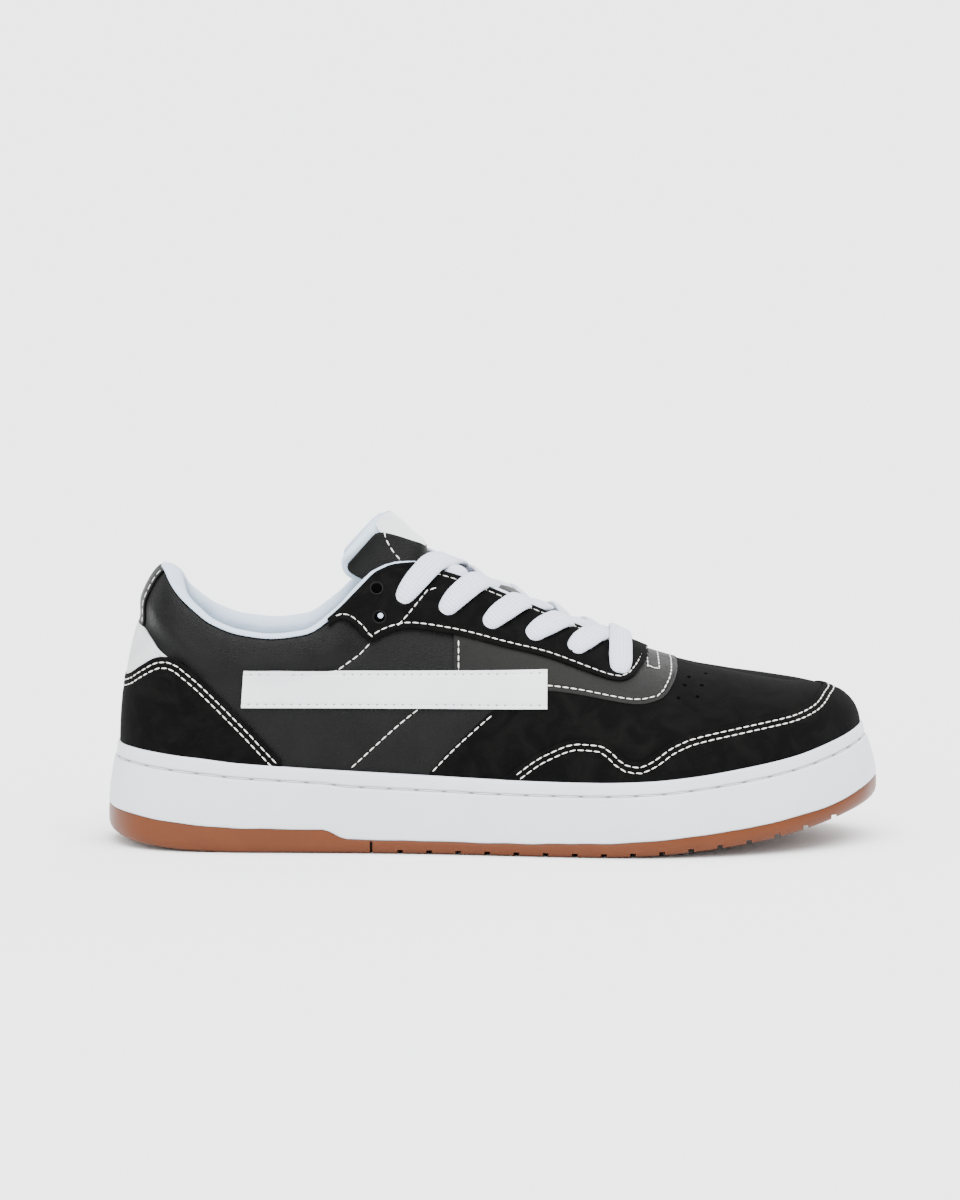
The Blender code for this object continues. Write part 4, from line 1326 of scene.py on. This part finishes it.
def chartTrack(chart, count=24):
    # smooth line through a few runs and rises
    track = []
    for index in range(count + 1):
        at = index / count * (len(chart) - 1)
        k = min(len(chart) - 2, int(at))
        (firstRun, firstRise), (nextRun, nextRise) = chart[k : k + 2]
        run = firstRun + (nextRun - firstRun) * (at - k)
        track.append((run, climbOfRise(run, firstRise + (nextRise - firstRise) * (at - k))))
    return track


def upLine(place, low, high, count):
    return [(place, low + (high - low) * step / count) for step in range(count + 1)]


def alongEdge(places, edge):
    return [(place, edge(place)) for place in places]


def buildThreads():
    form, lifts = threadForm, threadForm["lifts"]
    bm = bmesh.new()
    for panel, places, top in (("toe", aroundToe(0.552), toeTop), ("heel", aroundHeel(0.299), counterTop)):
        for distance in (row1, row2):
            sewRow(bm, offsetChart(alongEdge(places, top), -distance), lifts[panel])
    run = form["bindingRun"]
    low, high = tableClimb(tabRows, run), rimClimb(run)
    ends = 0.02 * (high - low)
    sewBoth(bm, upLine(run, low + ends, high - ends, 16), lifts["binding"])
    sewBoth(bm, alongEdge(eyestayPlaces(0.351, 0.7099), eyestayLow), lifts["eyestay"], row1)
    sewBoth(bm, alongEdge(stations(0.44, 0.688), rimClimb), lifts["eyestay"], -row1)
    patch = alongEdge(patchPlaces(0.580, 0.7504), patchLow)
    sewBoth(bm, patch + upLine(patchFront, patchLow(patchFront), 0.999, 5), lifts["patch"], row1)
    sewBoth(bm, chartTrack(seamCharts["heelwardSeam"]), lifts["leather"])
    sewBoth(bm, chartTrack(seamCharts["vampSeam"]), lifts["vamp"], -form["vampInwards"])
    run = form["patchBackRun"]
    sewBoth(bm, upLine(run, patchLow(run), patchHigh(run), 10)[:9], lifts["patchBack"])
    sewBoth(bm, chartTrack(seamCharts["collarSeam"]), lifts["leather"])
    across = [(run, climbOfHeight(run, height * mm)) for run, height in form["acrossEyestay"]]
    sewBoth(bm, across, lifts["aboveEyestay"])
    for run, low in form["loopSides"]:
        sewBoth(bm, upLine(run, low, form["loopTop"], 6), lifts["patch"])
    sewBoth(bm, form["loopTurn"], lifts["patch"])
    finishPiece(bm, "whiteThreads", "stitchThread")

    # grey marks along both edges of the side bands: painted shade in their stitch holes
    bm = bmesh.new()
    places = stations(band["first"] + 0.004, band["last"] - 0.004)
    for edge, inwards in ((bandLow, band["holes"]), (bandHigh, -band["holes"])):
        sewBoth(bm, alongEdge(places, edge), holeLift, inwards, **holeForm)
    finishPiece(bm, "stitchHoleShade", "stitchHoleShade")


buildThreads()
print("threads made")


# Tongue
tongueForm = dict(
    rows=54,
    columns=44,
    # shares along the tongue at which the label's border lies, at its middle and at its sides
    border=(0.78, 0.955),
    seamHigh=(0.935, 0.47),
    seamLow=(0.81, 0.63),
    seamLift=0.95 * mm,
    seamPitch=3.2 * mm,
    stitchLength=2.5 * mm,
    stitchThick=0.6 * mm,
)
# Pieces that lie on the tongue: their grid, half width, reach along it, lift, thickness and round edge
coverForm = dict(columns=40, rows=48, wide=0.95, low=0.03, lift=0.15 * mm, thickness=0.7 * mm, edge=0.2 * mm)
keeperForm = dict(columns=12, rows=12, wide=0.42, low=0.41, high=0.56, lift=0.6 * mm, arch=2.5 * mm,
                  thickness=1.0 * mm, edge=0.25 * mm)
labelForm = dict(columns=20, rows=16, wide=0.52, overlap=0.01, high=0.985, lift=0.2 * mm,
                 thickness=0.5 * mm, edge=0.2 * mm)


def tongueSpot(share, across):
    run = readTable(tongueRows, 1, share)
    place = run if across < 0 else 2 - run
    climb = 1 - (1 - readTable(tongueRows, 3, share)) * abs(across)
    hollow = (1 - min(1.0, across * across)) ** 2
    drop = readTable(tongueRows, 2, share) * shoe["tongueDrop"] * hollow
    square = min(climb, 0.985)
    normal, other = plainNormal(place, square), plainNormal(2 - place, square)
    normal = normal.lerp((normal + other) / 2, smooth((climb - 0.88) / 0.10)).normalized()
    spot = upperSpot(place, climb) - normal * (shoe["wall"] + shoe["tongueGap"] + drop)
    crest = 1 - 0.16 * math.exp(-((across / 0.30) ** 2))
    lift = readTable(tongueRows, 4, share) * shoe["tongueRise"] * crest
    spot.x -= readTable(tongueRows, 5, share) * (sectionAt(place)[1].z - spot.z)
    spot.y *= readTable(tongueRows, 6, share)
    return spot + Vector((-0.5 * lift, 0, lift))


def tongueFrame(share, across):
    here = tongueSpot(share, across)
    step = 0.01
    a, b = max(-0.999, across - step), min(0.999, across + step)
    sideways = tongueSpot(share, b) - tongueSpot(share, a)
    lengthways = tongueSpot(min(1.0, share + step), across) - tongueSpot(max(0.0, share - step), across)
    return here, sideways.cross(lengthways).normalized()


def tongueBorder(across):
    low, high = tongueForm["border"]
    return low + (high - low) * smooth((abs(across) - 0.14) / 0.46)


def tongueSheet(form, lowOf, highOf):
    # a sheet on the tongue between two lines across it, arched where its form says so
    def spotOf(column, row):
        across = (2 * column / form["columns"] - 1) * form["wide"]
        low, high = lowOf(across), highOf(across)
        here, normal = tongueFrame(low + (high - low) * row / form["rows"], across)
        arch = form.get("arch", 0.0) * math.sin(math.pi * row / form["rows"])
        return here + normal * (form["lift"] + arch)

    return mappedGrid(form["columns"], form["rows"], spotOf)


def buildTongue():
    form = tongueForm
    rows, around = form["rows"], form["columns"]
    thick = shoe["tongueThick"]

    def spotOf(column, row):
        share = 0.5 - 0.5 * math.cos(math.pi * row / rows)
        turn = 2 * math.pi * (column % around) / around
        across = math.copysign(abs(math.cos(turn)) ** 0.55, math.cos(turn))
        high = math.copysign(abs(math.sin(turn)) ** 0.9, math.sin(turn))
        end = min(share / 0.02, (1 - share) / 0.025, 1.0)
        end = math.sqrt(max(0.0, 1 - (1 - end) ** 2))
        here, normal = tongueFrame(share, across * 0.97)
        return here - normal * (thick / 2 * (1 - high * end))

    bm = mappedGrid(around, rows, spotOf)
    bmesh.ops.recalc_face_normals(bm, faces=bm.faces)
    piece = finishPiece(bm, "tonguePadding", "liningMesh", ["tongue"])

    bm = tongueSheet(coverForm, lambda across: coverForm["low"], tongueBorder)
    piece = finishPiece(bm, "tongueLeather", "blackLeather")
    addWall(piece, coverForm["thickness"], 1, coverForm["edge"])

    bm = tongueSheet(keeperForm, lambda across: keeperForm["low"], lambda across: keeperForm["high"])
    piece = finishPiece(bm, "laceKeeper", "blackLeather", ["lace_keeper"])
    addWall(piece, keeperForm["thickness"], 1, keeperForm["edge"])

    def labelLow(across):
        return tongueBorder(across) - labelForm["overlap"]

    bm = tongueSheet(labelForm, labelLow, lambda across: labelForm["high"])
    piece = finishPiece(bm, "tongueLabel", "whiteLeather", ["tongue_label"])
    addWall(piece, labelForm["thickness"], 1, labelForm["edge"])

    # a slanted row of threads on each side of the label
    bm = bmesh.new()
    for side in (-1, 1):
        seam = []
        for step in range(13):
            share, across = Vector(form["seamHigh"]).lerp(Vector(form["seamLow"]), step / 12)
            here, normal = tongueFrame(share, side * across)
            seam.append((here + normal * form["seamLift"], normal))
        for middle, ahead in evenSpots([spot for spot, _ in seam], form["seamPitch"]):
            addStitch(bm, middle, ahead, seam[6][1], form["stitchLength"], form["stitchThick"])
    finishPiece(bm, "tongueThreads", "stitchThread")


buildTongue()
print("tongue made")

# Laces: a bar over the lowest pair of eyelets, then crossings that dive into the next eyelets
laceForm = dict(
    width=9.8 * mm,
    thick=2.3 * mm,
    steps=34,
    around=14,
    rest=3.4 * mm,
    crowns=[3.4 * mm, -0.6 * mm, -3.2 * mm, -4.8 * mm, -5.2 * mm, -4.6 * mm],
    over=1.5 * mm,
    bows=[0.0, 0.018, 0.034, 0.034, 0.034, 0.032],
    reach=1.035,
    mapAlong=21.0,
    mapAround=8.0,
    fuzz=0.30 * mm,
    dive=3.4 * mm,
    under=6.5 * mm,
    weld=0.005 * mm,
)


def laceMiddle(start, end, crown, extra, bend, share, fromEdge):
    # start and end are run, climb and side; a crossing comes from under the eyestay's edge, the bar
    # out of an eyelet, and every strand ends in one
    form = laceForm
    run = start[0] + (end[0] - start[0]) * share + bend * (1 - (2 * share - 1) ** 2)
    climb = start[1] + (end[1] - start[1]) * share
    side = start[2] if share < 0.5 else end[2]
    place = run if side < 0 else 2 - run
    fullness = readTable(crownRows, 4, run)
    out = math.cos(climb * math.pi / 2) ** (2 / fullness) * abs(1 - 2 * share)
    bent = math.acos(min(1.0, out ** (fullness / 2))) / (math.pi / 2)
    inner = max(0.0, 1 - ((share - 0.5) / 0.31) ** 2)
    lift = form["rest"] + (crown + extra - form["rest"]) * inner
    into = max(0.0, (share - 0.955) / 0.08)
    outof = 0.0 if fromEdge else max(0.0, (0.045 - share) / 0.08)
    if fromEdge:
        lift -= form["under"] * smooth((0.30 - share) / 0.16)
    lift -= form["dive"] * max(into, outof) ** 1.6
    normal = upperNormal(place, min(bent, 0.985))
    return upperSpot(place, bent) + normal * lift, normal


def buildStrand(bm, layer, start, end, crown, extra, bend, fromEdge):
    form = laceForm
    steps, around = form["steps"], form["around"]
    last = form["reach"]
    first = 0.10 if fromEdge else 1 - last
    shares = [first + (last - first) * k / steps for k in range(steps + 1)]
    samples = [laceMiddle(start, end, crown, extra, bend, share, fromEdge) for share in shares]
    grid = bmesh.ops.create_grid(bm, x_segments=around, y_segments=steps, size=0.5, calc_uvs=True)
    faces = {face for vert in grid["verts"] for face in vert.link_faces}
    for face in faces:
        for loop in face.loops:
            u, v = loop[layer].uv
            loop[layer].uv = (u * form["mapAround"], v * form["mapAlong"])
    for vert in grid["verts"]:
        k = round((vert.co.y + 0.5) * steps)
        turn = 2 * math.pi * (round((vert.co.x + 0.5) * around) % around) / around
        spot, normal = samples[k]
        ahead = (samples[min(k + 1, steps)][0] - samples[max(k - 1, 0)][0]).normalized()
        across = ahead.cross(normal).normalized()
        up = across.cross(ahead).normalized()
        tip = min(1.0, (last - shares[k]) / 0.15)
        if not fromEdge:
            tip = min(tip, (shares[k] - first) / 0.12)
        narrow = 0.34 + 0.66 * math.sqrt(max(0.0, 1 - (1 - tip) ** 2))
        ripple = 1 + 0.035 * noise.noise(spot * 260)
        flat = math.copysign(abs(math.cos(turn)) ** 0.7, math.cos(turn)) * form["width"] / 2
        flat *= narrow * ripple
        high = math.copysign(abs(math.sin(turn)) ** 0.8, math.sin(turn)) * form["thick"] / 2
        high *= 1.0 + 0.25 * (1 - tip)
        rough = noise.noise(Vector((flat, high, shares[k] * 0.05)) * 900 + spot * 40)
        vert.co = spot + across * flat + up * (high + form["fuzz"] * rough)


def buildLaces():
    form = laceForm
    bm = bmesh.new()
    layer = bm.loops.layers.uv.new("weave")
    front = eyeletSpots[0]
    buildStrand(bm, layer, (*front, -1), (*front, 1), form["crowns"][0], 0.0, 0.0, False)
    for row in range(1, len(eyeletSpots)):
        for side in (-1, 1):
            start, end = (*eyeletSpots[row - 1], side), (*eyeletSpots[row], -side)
            extra = form["over"] if side > 0 else -form["over"] * 0.4
            buildStrand(bm, layer, start, end, form["crowns"][row], extra, form["bows"][row], True)
    bmesh.ops.remove_doubles(bm, verts=bm.verts, dist=form["weld"])
    edges = [edge for edge in bm.edges if edge.is_boundary]
    bmesh.ops.holes_fill(bm, edges=edges, sides=0)
    bmesh.ops.recalc_face_normals(bm, faces=bm.faces)
    piece = finishPiece(bm, "wovenLaces", "laceCotton", ["laces"])
    soften = piece.modifiers.new("soften", "SUBSURF")
    soften.levels = 1
    soften.render_levels = 1


eyeletForm = dict(
    lift=2.0 * mm,
    laced=2.2 * mm,
    bare=2.1 * mm,
    depth=0.5 * mm,
    rimLift=2.12 * mm,
    # radius and lift of the rim's crest and of its foot
    rim=[(2.45 * mm, 0.22 * mm), (2.8 * mm, 0.0)],
    rimThickness=0.3 * mm,
    # run and climb of each vent hole in the toe
    vents=[(0.764, 0.727), (0.757, 0.638), (0.748, 0.530), (0.771, 0.554), (0.779, 0.661), (0.789, 0.810)],
)


def spotPairs(chart, lift):
    # points and normals on both sides of the shoe, one pair for each run and climb
    return [skinSpot(place, climb, lift) for run, climb in chart for place in (run, 2 - run)]


def discMatrix(spot, normal):
    return Matrix.Translation(spot) @ normal.to_track_quat("Z", "Y").to_matrix().to_4x4()


def addDisc(bm, spot, normal, low, high, depth, segments):
    bmesh.ops.create_cone(
        bm, cap_ends=True, segments=segments, radius1=low, radius2=high, depth=depth,
        matrix=discMatrix(spot, normal),
    )


def buildEyelets():
    form = eyeletForm
    # dark discs: painted shade inside the eyelet holes, under the lace ends and in the bare eyelets
    bm = bmesh.new()
    for chart, radius in ((eyeletSpots, form["laced"]), (bareEyelets, form["bare"])):
        for spot, normal in spotPairs(chart, form["lift"]):
            addDisc(bm, spot, normal, radius, radius * 0.9, form["depth"], 20)
    finishPiece(bm, "eyeletHoles", "eyeletShade")

    bm = bmesh.new()
    for spot, normal in spotPairs(bareEyelets, form["rimLift"]):
        ring = bmesh.ops.create_circle(
            bm, cap_ends=False, segments=24, radius=form["bare"], matrix=discMatrix(spot, normal)
        )
        edges = list({edge for vert in ring["verts"] for edge in vert.link_edges})
        for radius, lift in form["rim"]:
            grown = bmesh.ops.extrude_edge_only(bm, edges=edges)["geom"]
            edges = [item for item in grown if isinstance(item, bmesh.types.BMEdge)
                     and len(item.link_faces) == 1]
            for vert in {vert for edge in edges for vert in edge.verts}:
                away = vert.co - spot
                flat = (away - normal * away.dot(normal)).normalized()
                vert.co = spot + flat * radius + normal * lift
    bmesh.ops.recalc_face_normals(bm, faces=bm.faces)
    piece = finishPiece(bm, "eyeletRims", "blackLeather")
    addWall(piece, form["rimThickness"], -1)

    # a bit of the lining shows through the lower bare eyelet
    bm = bmesh.new()
    for spot, normal in spotPairs(bareEyelets[1:], 2.2 * mm):
        addDisc(bm, spot + Vector((0.4 * mm, 0, 0.5 * mm)), normal, 1.1 * mm, 1.0 * mm, 0.2 * mm, 14)
    finishPiece(bm, "liningInEyelet", "liningMesh")

    # dark dots: painted shade inside the vent holes in the toe
    bm = bmesh.new()
    for spot, normal in spotPairs(form["vents"], 0.55 * mm):
        addDisc(bm, spot, normal, 0.85 * mm, 0.8 * mm, 0.3 * mm, 14)
    finishPiece(bm, "ventHoles", "eyeletShade")


buildLaces()
buildEyelets()
print("laces made")
